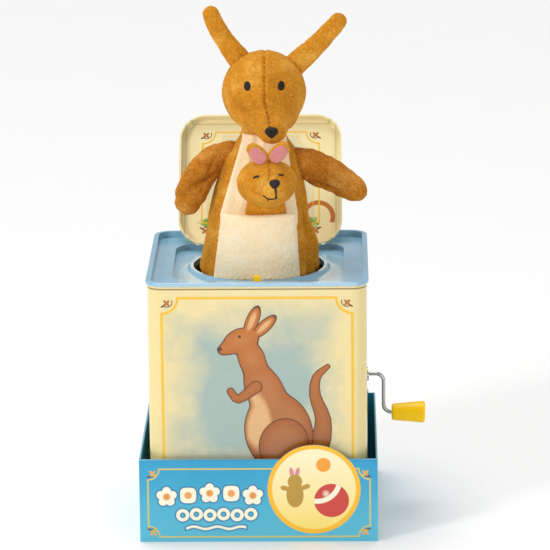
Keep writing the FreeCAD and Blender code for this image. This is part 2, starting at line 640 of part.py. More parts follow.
def comb_clamp():
    """The bar that holds the comb down."""
    x0, x1 = DRUM_X + MOVE_GAP, DRUM_X + DRUM_L - 2 * MOVE_GAP
    bar = box(x0, x1, COMB_BACK_Y, COMB_BACK_Y + COMB_BASE - 1.0, CRANK_AXIS_Z, CRANK_AXIS_Z + CLAMP_T)
    for x, y in comb_screw_spots():
        bar = bar.cut(rod(SCREW_R, (x, y, CRANK_AXIS_Z - 1), (x, y, CRANK_AXIS_Z + CLAMP_T + 1)))
    return bar


def comb_screws():
    z0 = CRANK_AXIS_Z - COMB_T - SCREW_SINK
    head_z = CRANK_AXIS_Z + CLAMP_T
    made = []
    for x, y in comb_screw_spots():
        shank = rod(SCREW_R, (x, y, z0), (x, y, head_z))
        made.append(shank.fuse(rod(SCREW_HEAD_R, (x, y, head_z), (x, y, head_z + SCREW_HEAD_T))))
    return Part.makeCompound(made)


def wall_screws():
    """The screws through the tin wall, with their heads outside."""
    face_x = BODY_W / 2
    made = []
    for y, z in wall_screw_spots():
        shank = rod(SCREW_R, (PLATE_OUT_X, y, z), (face_x, y, z))
        made.append(shank.fuse(rod(SCREW_HEAD_R, (face_x, y, z), (face_x + SCREW_HEAD_T, y, z))))
    return Part.makeCompound(made)


def crank_pinion():
    """The pinion, pressed on the crank's shaft."""
    gear = spur_gear(PINION_TEETH, GEAR_W, GEAR_X, (0.0, CRANK_AXIS_Z), 180.0)
    return gear.cut(rod(CRANK_R, (GEAR_X - 1, 0, CRANK_AXIS_Z), (GEAR_X + GEAR_W + 1, 0, CRANK_AXIS_Z)))


def drum_gear():
    """The drum's gear, with a gap between teeth where the pinion's tooth stands."""
    half_pitch = 180.0 / DRUM_TEETH
    gear = spur_gear(DRUM_TEETH, GEAR_W, GEAR_X, (DRUM_Y, CRANK_AXIS_Z), half_pitch)
    return gear.cut(drum_bore(SHAFT_R))


def drum_bore(radius):
    return rod(radius, (PLATE_IN_X - 5, DRUM_Y, CRANK_AXIS_Z), (BODY_W, DRUM_Y, CRANK_AXIS_Z))


def music_drum():
    """The drum with its pins, laid out as a spiral of rows."""
    drum = rod(DRUM_R, (DRUM_X, DRUM_Y, CRANK_AXIS_Z), (DRUM_X + DRUM_L, DRUM_Y, CRANK_AXIS_Z))
    pitch = (DRUM_L - 3 * MOVE_GAP) / COMB_TINES
    for row in range(PIN_TURNS):
        x = DRUM_X + MOVE_GAP + pitch * (row + 0.5)
        for n in range(PINS_PER_ROW):
            angle = 2 * math.pi * (n + 0.37 * row) / PINS_PER_ROW
            reach = Vector(0, math.cos(angle), math.sin(angle))
            start = Vector(x, DRUM_Y, CRANK_AXIS_Z) + reach * (DRUM_R - PIN_SINK)
            drum = drum.fuse(Part.makeCylinder(DRUM_PIN_R, PIN_SINK + DRUM_PIN_H, start, reach))
    return drum.cut(drum_bore(SHAFT_R))


def drum_shaft():
    return rod(SHAFT_R, (PLATE_IN_X, DRUM_Y, CRANK_AXIS_Z), (BODY_IN - 0.1, DRUM_Y, CRANK_AXIS_Z))


def release_cam():
    """A round cam with one lobe, which comes round under the rocker's arm once a turn of the drum."""
    x0, x1 = CAM_X, CAM_X + CAM_W
    cam = rod(CAM_R, (x0, DRUM_Y, CRANK_AXIS_Z), (x1, DRUM_Y, CRANK_AXIS_Z))
    lobe_r = CAM_R * 0.35
    lobe_z = CRANK_AXIS_Z - CAM_R - CAM_LIFT + lobe_r
    lobe = rod(lobe_r, (x0, DRUM_Y, lobe_z), (x1, DRUM_Y, lobe_z))
    neck = box(x0, x1, DRUM_Y - lobe_r, DRUM_Y + lobe_r, lobe_z, CRANK_AXIS_Z)
    return cam.fuse(lobe).fuse(neck).cut(drum_bore(SHAFT_R)).removeSplitter()


# ---- the latch -----------------------------------------------------------------------------------
def latch_hook():
    """The yellow hook that holds the lid's catch. Its foot is moulded round the rocker."""
    half = HOOK_W / 2
    top = DECK_Z + HOOK_TOP
    y0, y1 = HOOK_Y - HOOK_T / 2, HOOK_Y + HOOK_T / 2
    hook = box(-half, half, y0, y1, ROCKER_Z, top)
    nose_z = DECK_Z + CATCH_UP + CATCH_T + HOOK_OVER
    hook = hook.fuse(box(-half, half, y0, y1 + HOOK_NOSE, nose_z, top))
    hook = hook.fuse(rod(ROCKER_R + HOOK_HUB_T, (-half, HOOK_Y, ROCKER_Z), (half, HOOK_Y, ROCKER_Z)))
    bore = rod(ROCKER_R, (-half - 1, HOOK_Y, ROCKER_Z), (half + 1, HOOK_Y, ROCKER_Z))
    return hook.cut(bore).removeSplitter()


def latch_rocker():
    """The wire that the hook rocks on, with an arm that hangs just over the path of the cam's lobe."""
    arm_z = CRANK_AXIS_Z + CAM_R + CAM_LIFT + CAM_CLEAR + ROCKER_R
    points = (
        (-ROCKER_LEFT, HOOK_Y, ROCKER_Z),
        (ROCKER_RIGHT, HOOK_Y, ROCKER_Z),
        (ROCKER_RIGHT, HOOK_Y + (DRUM_Y - HOOK_Y) * 0.45, arm_z + 3.0),
        (ROCKER_RIGHT, DRUM_Y + 4.0, arm_z),
    )
    return bent_wire(points, ROCKER_R, 3.0)


def rocker_brackets():
    """Two hangers under the deck, with a bore for the rocker."""
    made = []
    top = DECK_Z - TIN_T
    y0, y1 = HOOK_Y - BRACKET_W / 2, HOOK_Y + BRACKET_W / 2
    for x in BRACKET_X:
        plate = box(x - BRACKET_T / 2, x + BRACKET_T / 2, y0, y1, ROCKER_Z - BRACKET_DROP, top)
        foot = box(x - BRACKET_T / 2 - BRACKET_FOOT, x, y0, y1, top - BRACKET_T, top)
        ends = ((x + reach, HOOK_Y, ROCKER_Z) for reach in (-BRACKET_FOOT, BRACKET_FOOT))
        bore = rod(ROCKER_R + RUN, *ends)
        made.append(plate.fuse(foot).cut(bore))
    return Part.makeCompound(made)


# ---- the spring and the puppet -------------------------------------------------------------------
def jack_spring():
    """An open coil from the base disc to the cap in the puppet's shoulders."""
    low = SPRING_Z + SPRING_WIRE_R + 0.05
    height = CAP_Z - SPRING_WIRE_R - 0.05 - low
    path = Part.makeHelix(height / SPRING_TURNS, height, SPRING_R)
    section = Part.Wire([Part.makeCircle(SPRING_WIRE_R, Vector(SPRING_R, 0, 0), Y)])
    coil = Part.Wire(path).makePipeShell([section], True, True)
    coil.translate(Vector(0, 0, low))
    return coil


def spring_base_disc():
    """The disc that holds the spring's foot and the cloth's hem to the tin floor."""
    disc = Part.makeCylinder(BASE_DISC_R, BASE_DISC_T, Vector(0, 0, DISC_Z))
    for n in range(3):
        angle = 2 * math.pi * n / 3
        spot = Vector(math.cos(angle), math.sin(angle), 0) * (SPRING_R * 0.6) + Z * (DISC_Z - 1)
        disc = disc.cut(Part.makeCylinder(SCREW_R, BASE_DISC_T + 2, spot))
    return disc


def base_rivets():
    """Three rivets through the base disc and down on the tin floor."""
    made = []
    for n in range(3):
        angle = 2 * math.pi * n / 3
        spot = Vector(math.cos(angle), math.sin(angle), 0) * (SPRING_R * 0.6)
        shank = Part.makeCylinder(SCREW_R, BASE_DISC_T, spot + Z * DISC_Z)
        head = Part.makeCylinder(SCREW_HEAD_R, SCREW_HEAD_T, spot + Z * (DISC_Z + BASE_DISC_T))
        made.append(shank.fuse(head))
    return Part.makeCompound(made)


def spring_cap():
    """The disc at the spring's top, which the puppet is sewn to."""
    return Part.makeCylinder(CAP_R, CAP_T, Vector(TORSO_LEAN_X * 0.6, 0, CAP_Z))


def puppet_skirt():
    """The cloth tube inside the box, from the torso down to the base disc."""
    height = TORSO_Z - SPRING_Z
    outer = Part.makeLoft([oval(SKIRT_FOOT_R, SKIRT_FOOT_R, SPRING_Z), oval(*TORSO_FOOT, TORSO_Z)], True)
    foot_in = SKIRT_FOOT_R - CLOTH_T
    top_in = (TORSO_FOOT[0] - CLOTH_T, TORSO_FOOT[1] - CLOTH_T)
    stretch = 1.0 / height
    inner = Part.makeLoft(
        [oval(foot_in, foot_in, SPRING_Z - stretch), oval(*top_in, TORSO_Z + stretch)], True
    )
    return outer.cut(inner)


def puppet_torso():
    """The plush body above the deck, hollow over the spring and closed at the shoulders."""
    inner = torso_form(-CLOTH_T)
    keep = box(-80, 80, -80, 80, TORSO_Z - 1, TORSO_TOP - CLOTH_T)
    return torso_form().cut(inner.common(keep))


def bib():
    """The pale panel on the torso's front, above the pouch."""
    panel = torso_form(BIB_T).cut(torso_form())
    low = TORSO_Z + POUCH_FOOT + POUCH_H + 0.3
    x0, x1 = TORSO_LEAN_X - BIB_HALF_W, TORSO_LEAN_X + BIB_HALF_W
    return panel.common(box(x0, x1, -80, -1, low, TORSO_TOP - 1.0))


def pouch():
    """The pale pocket on the torso's front: a curved front wall, two sides and a foot, open at the top."""
    z0 = TORSO_Z + POUCH_FOOT
    z1 = z0 + POUCH_H
    block = Part.makeCylinder(POUCH_FRONT, POUCH_H, Vector(0, 0, z0))
    block = block.common(box(-POUCH_HALF_W, POUCH_HALF_W, -80, -8, z0, z1))
    cavity = Part.makeCylinder(POUCH_FRONT - POUCH_T, POUCH_H, Vector(0, 0, z0 + POUCH_T))
    inner_half = POUCH_HALF_W - POUCH_T
    cavity = cavity.common(box(-inner_half, inner_half, -80, 0, z0, z1 + 1))
    return block.cut(cavity).cut(torso_form())


def puppet_head():
    """The stuffed head with its muzzle and neck."""
    head = Part.makeSphere(HEAD_R, Vector(*on_deck(HEAD_AT)))
    root, root_r, tip, tip_r = MUZZLE
    muzzle = capsule(on_deck(root), root_r, on_deck(tip), tip_r)
    neck = Part.makeCylinder(
        NECK_R, on_deck(HEAD_AT)[2] - TORSO_TOP, Vector(TORSO_LEAN_X, HEAD_AT[1], TORSO_TOP)
    )
    return head.fuse(muzzle).fuse(neck)


def puppet_nose(head):
    return ellipsoid(NOSE, on_deck(NOSE_AT)).cut(head)


def puppet_eyes(head):
    return Part.makeCompound([ellipsoid(EYE, on_deck(at)).cut(head) for at in EYE_AT])


def puppet_ear(side, head):
    """A flat stuffed ear."""
    root, tip = (on_deck(p) for p in EARS[side])
    return capsule(root, EAR_R[0], tip, EAR_R[1], EAR_FLAT).cut(head)


def puppet_arm(arm):
    shoulder, r0, paw, r1 = arm
    return capsule(on_deck(shoulder), r0, on_deck(paw), r1)


def baby_sleeve(inset, low, high):
    """A flattened tube of cloth round a fingertip, drawn in by inset."""
    half_x, half_y = (half - inset for half in BABY_BODY)
    tube = Part.Face(oval(half_x, half_y, low)).extrude(Z * (high - low))
    across, back = BABY_BODY_AT
    tube.translate(Vector(across, back - POUCH_FRONT, 0))
    return tube


def baby_neck_z():
    """Top of the sleeve, inside the head."""
    return at_pouch(BABY_HEAD_AT)[2] - BABY_HEAD_R * 0.7


def baby_body():
    """The finger puppet's sleeve, open at the foot for a fingertip."""
    low = DECK_Z + BABY_BODY_FOOT
    return baby_sleeve(0, low, baby_neck_z()).cut(baby_sleeve(BABY_CLOTH, low - 1, baby_neck_z() + 1))


def baby_head():
    """The baby's stuffed head, seated over the top of the sleeve."""
    x, y, z = at_pouch(BABY_HEAD_AT)
    left, right = (x - BABY_HEAD_SPREAD, y, z), (x + BABY_HEAD_SPREAD, y, z)
    head = capsule(left, BABY_HEAD_R, right, BABY_HEAD_R)
    return head.cut(baby_sleeve(-0.05, baby_neck_z() - BABY_HEAD_R, baby_neck_z()))


def baby_nose(head):
    return Part.makeSphere(BABY_NOSE_R, Vector(*at_pouch(BABY_NOSE_AT))).cut(head)


def flat_oval(half_x, half_z, thick, at, tilt):
    """An upright oval plate whose front face is at at, turned about Y by tilt degrees."""
    plate = Part.Face(oval(half_x, half_z, 0)).extrude(Z * thick)
    plate.rotate(Vector(), X, -90)
    plate.rotate(Vector(), Y, tilt)
    plate.translate(Vector(*at))
    return plate


def baby_ears(head):
    """Both ears, each a flat oval that leans outwards."""
    ears = [
        flat_oval(*BABY_EAR, BABY_EAR_T, at_pouch(at), tilt).cut(head)
        for at, tilt in zip(BABY_EARS_AT, BABY_EAR_TILTS)
    ]
    return Part.makeCompound(ears)


def ear_linings(head):
    """The pink lining on the front of each ear."""
    made = []
    for at, tilt in zip(BABY_EARS_AT, BABY_EAR_TILTS):
        x, y, z = at_pouch(at)
        half = (size * LINING_SCALE for size in BABY_EAR)
        made.append(flat_oval(*half, LINING_T, (x, y - LINING_T, z), tilt).cut(head))
    return Part.makeCompound(made)


def main():
    os.makedirs("parts", exist_ok=True)
    save("display_tray", display_tray())
    save("tin_body", tin_body())
    save("bottom_plate", bottom_plate())
    save("top_plate", top_plate())
    save("lid", lid())
    save("hinge_pins", hinge_pins())
    save("crank_rod", crank_rod())
    save("crank_knob", crank_knob())
    save("crank_bush", crank_bush())
    save("crank_pinion", crank_pinion())
    save("movement_frame", movement_frame())
    save("movement_comb", movement_comb())
    save("comb_clamp", comb_clamp())
    save("comb_screws", comb_screws())
    save("wall_screws", wall_screws())
    save("drum_gear", drum_gear())
    save("music_drum", music_drum())
    save("drum_shaft", drum_shaft())
    save("release_cam", release_cam())
    save("latch_hook", latch_hook())
    save("latch_rocker", latch_rocker())
    save("rocker_brackets", rocker_brackets())
    save("jack_spring", jack_spring())
    save("spring_base_disc", spring_base_disc())
    save("base_rivets", base_rivets())
    save("spring_cap", spring_cap())
    save("puppet_skirt", puppet_skirt())
    save("puppet_torso", puppet_torso())
    save("bib", bib())
    save("pouch", pouch())
    head = puppet_head()
    save("puppet_head", head)
    save("puppet_nose", puppet_nose(head))
    save("puppet_eyes", puppet_eyes(head))
    save("ear_left", puppet_ear(0, head))
    save("ear_right", puppet_ear(1, head))
    save("arm_left", puppet_arm(ARM_LEFT))
    save("arm_right", puppet_arm(ARM_RIGHT))
    save("baby_body", baby_body())
    face = baby_head()
    save("baby_head", face)
    save("baby_nose", baby_nose(face))
    save("baby_ears", baby_ears(face))
    save("baby_ear_linings", ear_linings(face))


main()
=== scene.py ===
"""The looks of a jack in the box: a printed tin box in a card tray, with a plush kangaroo on a spring.

Places and sizes are in millimetres in the part's own frame, and go to metres where a mesh is made.
+X is towards the crank, -Y towards the front, and +Z up.
"""
import json
import math

import bmesh
import bpy
from mathutils import Matrix, Vector, noise


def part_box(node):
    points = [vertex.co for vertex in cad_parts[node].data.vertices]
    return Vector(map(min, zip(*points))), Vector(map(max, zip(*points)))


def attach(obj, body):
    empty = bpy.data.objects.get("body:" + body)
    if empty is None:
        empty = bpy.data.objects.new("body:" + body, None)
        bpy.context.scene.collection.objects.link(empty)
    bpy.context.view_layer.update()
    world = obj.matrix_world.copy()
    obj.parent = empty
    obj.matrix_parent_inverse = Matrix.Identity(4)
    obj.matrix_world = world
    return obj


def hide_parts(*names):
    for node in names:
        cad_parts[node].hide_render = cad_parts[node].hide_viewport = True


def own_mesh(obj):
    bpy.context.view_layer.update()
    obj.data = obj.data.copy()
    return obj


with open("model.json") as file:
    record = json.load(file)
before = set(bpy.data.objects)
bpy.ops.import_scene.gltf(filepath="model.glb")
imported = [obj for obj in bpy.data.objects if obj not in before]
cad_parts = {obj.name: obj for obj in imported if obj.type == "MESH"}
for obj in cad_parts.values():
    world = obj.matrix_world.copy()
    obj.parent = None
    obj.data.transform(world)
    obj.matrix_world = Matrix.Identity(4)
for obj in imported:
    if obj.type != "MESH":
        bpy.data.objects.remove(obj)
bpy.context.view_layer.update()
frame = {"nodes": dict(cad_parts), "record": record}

MM = 0.001


def low(node):
    """The lowest corner of a CAD node, in millimetres."""
    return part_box(node)[0] / MM


def high(node):
    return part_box(node)[1] / MM


# ---- places read from the frame --------------------------------
KNUCKLES_OVER_RIM = 1.6
RIM_DEPTH = 2.7
RIM_Z = high("top_plate").z - KNUCKLES_OVER_RIM
RIM_FOOT_Z = RIM_Z - RIM_DEPTH
BOX_HALF = high("tin_body").x
TRAY_HALF = high("display_tray").x
TRAY_TOP = 54.0
BADGE_R = 29.0
BADGE_X = 35.0
BADGE_Z = high("display_tray").z - BADGE_R
DECK_Z = 163.5
TORSO_FOOT = low("puppet_torso").z
SPRING_FOOT = low("jack_spring").z
SPRING_TOP = high("jack_spring").z
SPRING_R = high("jack_spring").x
DISC_TOP = high("spring_base_disc").z


def joint(name):
    return next(j for j in frame["record"]["behaviour"]["joints"] if j["name"] == name)


POP = -joint("puppet_pop")["range_m"][0] / MM
HINGE = Vector(joint("lid_hinge")["pos_m"]) / MM
LID_OPEN_DEG = joint("lid_hinge")["range_deg"][1]


# ---- node arithmetic -------------------------------------------
class Num:
    """A number in a material's node tree, with ordinary arithmetic."""

    def __init__(self, tree, socket):
        self.tree, self.socket = tree, socket

    def op(self, kind, *others, clamp=False):
        node = self.tree.nodes.new("ShaderNodeMath")
        node.operation = kind
        node.use_clamp = clamp
        for place, value in enumerate((self, *others)):
            if isinstance(value, Num):
                self.tree.links.new(value.socket, node.inputs[place])
            else:
                node.inputs[place].default_value = value
        return Num(self.tree, node.outputs[0])

    def __add__(self, other):
        return self.op("ADD", other)

    __radd__ = __add__

    def __sub__(self, other):
        return self.op("SUBTRACT", other)

    def __rsub__(self, other):
        return (self * -1.0) + other

    def __mul__(self, other):
        return self.op("MULTIPLY", other)

    __rmul__ = __mul__

    def __truediv__(self, other):
        return self.op("DIVIDE", other)

    def __abs__(self):
        return self.op("ABSOLUTE")

    def sqrt(self):
        return self.op("SQRT")

    def unit(self):
        """Held between 0 and 1."""
        return self.op("ADD", 0.0, clamp=True)

    def below(self, edge, soft):
        """1 where this is under edge, 0 over it, with a soft step between."""
        return ((edge - self) / soft + 0.5).unit()


def least(*numbers, blend=0.0):
    """The union of distances, rounded together over blend."""
    result = numbers[0]
    for other in numbers[1:]:
        result = result.op("SMOOTH_MIN", other, blend) if blend else result.op("MINIMUM", other)
    return result


def most(*numbers):
    result = numbers[0]
    for other in numbers[1:]:
        result = result.op("MAXIMUM", other)
    return result


def disc(u, v, at, r):
    """Distance outside a circle."""
    return length(u - at[0], v - at[1]) - r


def length(a, b):
    return (a * a + b * b).sqrt()


def egg(u, v, at, half, turn=0.0):
    """Roughly the distance outside an ellipse turned by turn degrees."""
    c, s = math.cos(math.radians(turn)), math.sin(math.radians(turn))
    du, dv = u - at[0], v - at[1]
    along, across = du * c + dv * s, dv * c - du * s
    return (length(along / half[0], across / half[1]) - 1.0) * min(half)


def bar(u, v, start, end, r0, r1=None):
    """Distance outside a tapered bar with round ends."""
    r1 = r0 if r1 is None else r1
    bu, bv = end[0] - start[0], end[1] - start[1]
    du, dv = u - start[0], v - start[1]
    share = ((du * bu + dv * bv) / (bu * bu + bv * bv)).unit()
    return length(du - share * bu, dv - share * bv) - (share * (r1 - r0) + r0)


def smooth_path(points, steps):
    """Catmull-Rom through points, each a list of numbers."""
    rows = [Vector(p) for p in points]
    rows = [rows[0] * 2 - rows[1]] + rows + [rows[-1] * 2 - rows[-2]]
    made = []
    for a, b, c, d in zip(rows, rows[1:], rows[2:], rows[3:]):
        for n in range(steps):
            t = n / steps
            square = (2 * a - 5 * b + 4 * c - d) * t * t
            cube = (3 * b - a - 3 * c + d) * t ** 3
            made.append(0.5 * (2 * b + (c - a) * t + square + cube))
    made.append(rows[-2])
    return made


def chain(u, v, points, radii):
    """A bent bar through points."""
    path = smooth_path([Vector((*p, r)) for p, r in zip(points, radii)], 3)
    return least(*[bar(u, v, a[:2], b[:2], a[2], b[2]) for a, b in zip(path, path[1:])])


def frame_line(u, v, centre, half, scallop):
    """Distance outside a rectangle whose corners are scooped out by circles."""
    du, dv = abs(u - centre[0]), abs(v - centre[1])
    block = most(du - half[0], dv - half[1])
    scoop = scallop - length(du - half[0], dv - half[1])
    return most(block, scoop)


# ---- materials -------------------------------------------------
def srgb(r, g, b):
    """A colour given in 0 to 255, in linear light."""
    def lin(c):
        c = c / 255
        return c / 12.92 if c <= 0.04045 else ((c + 0.055) / 1.055) ** 2.4
    return (lin(r), lin(g), lin(b), 1.0)


class Paint:
    """A material whose base colour is built up in layers."""

    def __init__(self, name, colour, rough=0.5, **settings):
        self.material = bpy.data.materials.new(name)
        self.material.use_nodes = True
        self.tree = self.material.node_tree
        self.shader = self.tree.nodes["Principled BSDF"]
        self.shader.inputs["Roughness"].default_value = rough
        for socket, value in settings.items():
            self.shader.inputs[socket.replace("_", " ")].default_value = value
        self.colour = colour
        self.coord = self.tree.nodes.new("ShaderNodeTexCoord").outputs["Object"]

    def place(self):
        """x, y, z of the surface, in millimetres."""
        split = self.tree.nodes.new("ShaderNodeSeparateXYZ")
        self.tree.links.new(self.coord, split.inputs[0])
        return [Num(self.tree, out) * (1 / MM) for out in split.outputs]

    def facing(self):
        """x, y, z of the surface's direction."""
        source = self.tree.nodes.new("ShaderNodeTexCoord").outputs["Normal"]
        split = self.tree.nodes.new("ShaderNodeSeparateXYZ")
        self.tree.links.new(source, split.inputs[0])
        return [Num(self.tree, out) for out in split.outputs]

    def cloud(self, size, detail=2.0, rough=0.5, stretch=None):
        """Noise from 0 to 1 with lumps of size millimetres."""
        node = self.tree.nodes.new("ShaderNodeTexNoise")
        node.inputs["Scale"].default_value = 1 / (size * MM)
        node.inputs["Detail"].default_value = detail
        node.inputs["Roughness"].default_value = rough
        source = self.coord
        if stretch:
            mapping = self.tree.nodes.new("ShaderNodeMapping")
            mapping.inputs["Scale"].default_value = stretch
            self.tree.links.new(source, mapping.inputs["Vector"])
            source = mapping.outputs[0]
        self.tree.links.new(source, node.inputs["Vector"])
        return Num(self.tree, node.outputs["Fac"])

    def layer(self, colour, mask):
        """Puts colour over what is there, where mask is 1."""
        mix = self.tree.nodes.new("ShaderNodeMix")
        mix.data_type = "RGBA"
        self._feed(self.colour, mix.inputs[6])
        self._feed(colour, mix.inputs[7])
        self._feed(mask, mix.inputs[0])
        self.colour = mix.outputs[2]

    def _feed(self, value, socket):
        if isinstance(value, Num):
            self.tree.links.new(value.socket, socket)
        elif isinstance(value, bpy.types.NodeSocket):
            self.tree.links.new(value, socket)
        else:
            socket.default_value = value

    def blend(self, colour_a, colour_b, share):
        """A colour between two."""
        kept, self.colour = self.colour, colour_a
        self.layer(colour_b, share)
        made, self.colour = self.colour, kept
        return made

    def rough(self, number):
        self.tree.links.new(number.socket, self.shader.inputs["Roughness"])

    def bump(self, height, depth, strength=1.0):
        """Fine relief: height is 0 to 1, and depth in millimetres."""
        node = self.tree.nodes.new("ShaderNodeBump")
        node.inputs["Distance"].default_value = depth * MM
        node.inputs["Strength"].default_value = strength
        self.tree.links.new(height.socket, node.inputs["Height"])
        self.tree.links.new(node.outputs[0], self.shader.inputs["Normal"])

    def done(self):
        self._feed(self.colour, self.shader.inputs["Base Color"])
        return self.material


def plush(name, dark, mid, light, tuft=1.5, sheen=0.45, relief=0.8):
    """Short pile: mottled tufts, broad lighter and darker patches of painted sheen where the pile lies
    another way, and a soft sheen.
    """
    paint = Paint(
        name, mid, 0.92, Sheen_Weight=sheen, Sheen_Roughness=0.55, Sheen_Tint=light, Specular_IOR_Level=0.15
    )
    sheen_patches = paint.cloud(16.0, 3.0, 0.6)
    fine = paint.cloud(tuft, 3.0, 0.65)
    hairs = paint.cloud(tuft * 0.4, 2.0, 0.6)
    # painted sheen: broad lighter and darker patches where the pile lies another way
    paint.layer(light, ((sheen_patches - 0.52) * 4.5).unit() * 0.6)
    paint.layer(dark, ((0.47 - sheen_patches) * 5.0).unit() * 0.6)
    paint.layer(dark, ((0.48 - fine) * 7.0).unit() * 0.52)
    paint.layer(light, ((fine - 0.56) * 7.0).unit() * 0.5)
    paint.layer(dark, ((0.44 - hairs) * 6.0).unit() * 0.32)
    paint.bump(fine * 0.6 + hairs * 0.4, relief)
    return paint.done()


def thread(name, colour):
    paint = Paint(name, colour, 0.5, Sheen_Weight=0.04, Specular_IOR_Level=0.35)
    stitches = paint.cloud(0.5, 1.0, 0.5, stretch=(1.0, 1.0, 6.0))
    # painted highlight: a lighter copy of the thread colour along the raised stitches
    paint.layer(tuple(c * 2.2 for c in colour[:3]) + (1.0,), ((stitches - 0.5) * 3.0).unit())
    paint.bump(stitches, 0.25)
    return paint.done()


def felt(name, colour, light):
    paint = Paint(name, colour, 0.95, Sheen_Weight=0.5, Sheen_Roughness=0.5)
    fibres = paint.cloud(0.7, 4.0, 0.7)
    paint.layer(light, ((fibres - 0.45) * 4.0).unit() * 0.6)
    paint.bump(fibres, 0.3)
    return paint.done()


def metal(name, colour, rough, brush=0.5, brush_axis=(1.0, 1.0, 12.0)):
    """Bare metal with drawn or brushed streaks and dull patches."""
    paint = Paint(name, colour, rough, Metallic=1.0)
    streaks = paint.cloud(brush, 3.0, 0.6, stretch=brush_axis)
    patches = paint.cloud(9.0, 3.0, 0.6)
    dull = tuple(c * 0.62 for c in colour[:3]) + (1.0,)
    paint.layer(dull, ((patches - 0.5) * 2.5).unit() * 0.5)
    paint.rough(streaks * 0.16 + patches * 0.14 + (rough - 0.15))
    paint.bump(streaks, 0.02)
    return paint.done()


def moulded(name, colour, rough, glow=0.0):
    """Moulded plastic, a little cloudy, with a fine skin. glow is a painted glow: an emission that stands
    for light let through.
    """
    paint = Paint(
        name, colour, rough, Specular_IOR_Level=0.25, Coat_Weight=0.06, Coat_Roughness=0.12,
        Emission_Color=colour, Emission_Strength=glow,
    )
    clouds = paint.cloud(7.0, 2.0)
    shade = tuple(c * 0.92 for c in colour[:3]) + (1.0,)
    paint.layer(shade, ((clouds - 0.5) * 2.0).unit() * 0.5)
    skin = paint.cloud(0.35, 1.0)
    paint.rough(clouds * 0.12 + skin * 0.08 + (rough - 0.08))
    paint.bump(skin, 0.015)
    return paint.done()


CREAM = srgb(244, 230, 176)
TIN_CREAM = srgb(238, 220, 164)
TIN_EDGE = srgb(236, 216, 140)
MIST = srgb(158, 182, 178)
LINE = srgb(242, 190, 38)
ORNAMENT = srgb(176, 100, 20)
ORNAMENT_DARK = srgb(96, 60, 14)
SKY = srgb(140, 189, 216)
TRAY_BLUE = srgb(48, 168, 206)
TRAY_DEEP = srgb(10, 142, 200)
TRAY_PALE = srgb(98, 196, 220)
FUR = srgb(194, 108, 22)
FUR_DARK = srgb(146, 72, 10)
FUR_LIGHT = srgb(232, 186, 128)
OUTLINE = srgb(88, 44, 16)
GRASS = srgb(108, 168, 64)
WHITE = srgb(250, 244, 220)


def ornaments(u, v, centre, half):
    """A small sprig in each corner: a flower of four petals on a curved stalk. Gives petals and stalks."""
    du, dv = abs(u - centre[0]), abs(v - centre[1])
    cu, cv = half[0] - 3.2, half[1] - 3.2
    petals = least(*[
        egg(du, dv, (cu + 1.3 * math.cos(a), cv + 1.3 * math.sin(a)), (1.25, 0.75), math.degrees(a))
        for a in (math.pi / 4 + n * math.pi / 2 for n in range(4))
    ])
    stalk = abs(disc(du, dv, (cu - 0.4, cv + 0.6), 3.1)) - 0.3
    stalk = most(stalk, (du - cu) * 0.7 + (dv - cv) * 0.9 + 0.6)
    leaf = egg(du, dv, (cu + 2.4, cv - 2.0), (1.3, 0.6), -30)
    return petals, least(stalk, leaf)


def scratches(paint):
    """Fine handling marks for a printed or lacquered surface, from 0 to 1."""
    return ((paint.cloud(3.0, 5.0, 0.75, stretch=(0.25, 0.25, 3.0)) - 0.62) * 7.0).unit()


def tin_material():
    """Printed tinplate: cream panels, a gold line, a misty middle, and an animal on the front."""
    paint = Paint(
        "printed_tin", TIN_CREAM, 0.3, Coat_Weight=0.5, Coat_Roughness=0.12, Specular_IOR_Level=0.4
    )
    x, y, z = paint.place()
    _nx, ny, _nz = paint.facing()
    on_front = abs(ny).op("GREATER_THAN", 0.707)
    u = x * on_front + y * (1.0 - on_front)
    front = (ny * -1.0).op("GREATER_THAN", 0.707)
    mid, half = (0.0, 84.0), (59.6, 73.6)
    line = frame_line(u, z, mid, half, 10.0)
    # the panel yellows towards its edges and is misty in the middle
    paint.layer(TIN_EDGE, (abs(u) / BOX_HALF).op("POWER", 5.0) * 0.7)
    wash = paint.cloud(30.0, 3.0, 0.6)
    mist = most(abs(u + 2.0) - 50.0, abs(z - 96.0) - 50.0) / 22.0 + (wash - 0.5) * 2.2
    paint.layer(MIST, mist.below(-0.3, 1.3) * 0.95)
    petals, stalks = ornaments(u, z, mid, half)
    paint.layer(ORNAMENT, petals.below(0.0, 0.35))
    paint.layer(ORNAMENT_DARK, stalks.below(0.0, 0.3))
    paint.layer(LINE, (abs(line) - 0.8).below(0.0, 0.3))
    # painted shadow: a thin dark line just under the rim of the top
    paint.layer(ORNAMENT_DARK, abs(z - RIM_FOOT_Z).below(0.45, 0.4) * 0.8)
    draw_animal(paint, u, z, front)
    draw_tree(paint, u, z, 1.0 - front)
    worn = scratches(paint)
    paint.rough(worn * 0.15 + wash * 0.1 + 0.22)
    paint.bump(paint.cloud(22.0, 2.0) * 0.8 + paint.cloud(1.2) * 0.05, 0.25, 0.35)
    return paint.done()


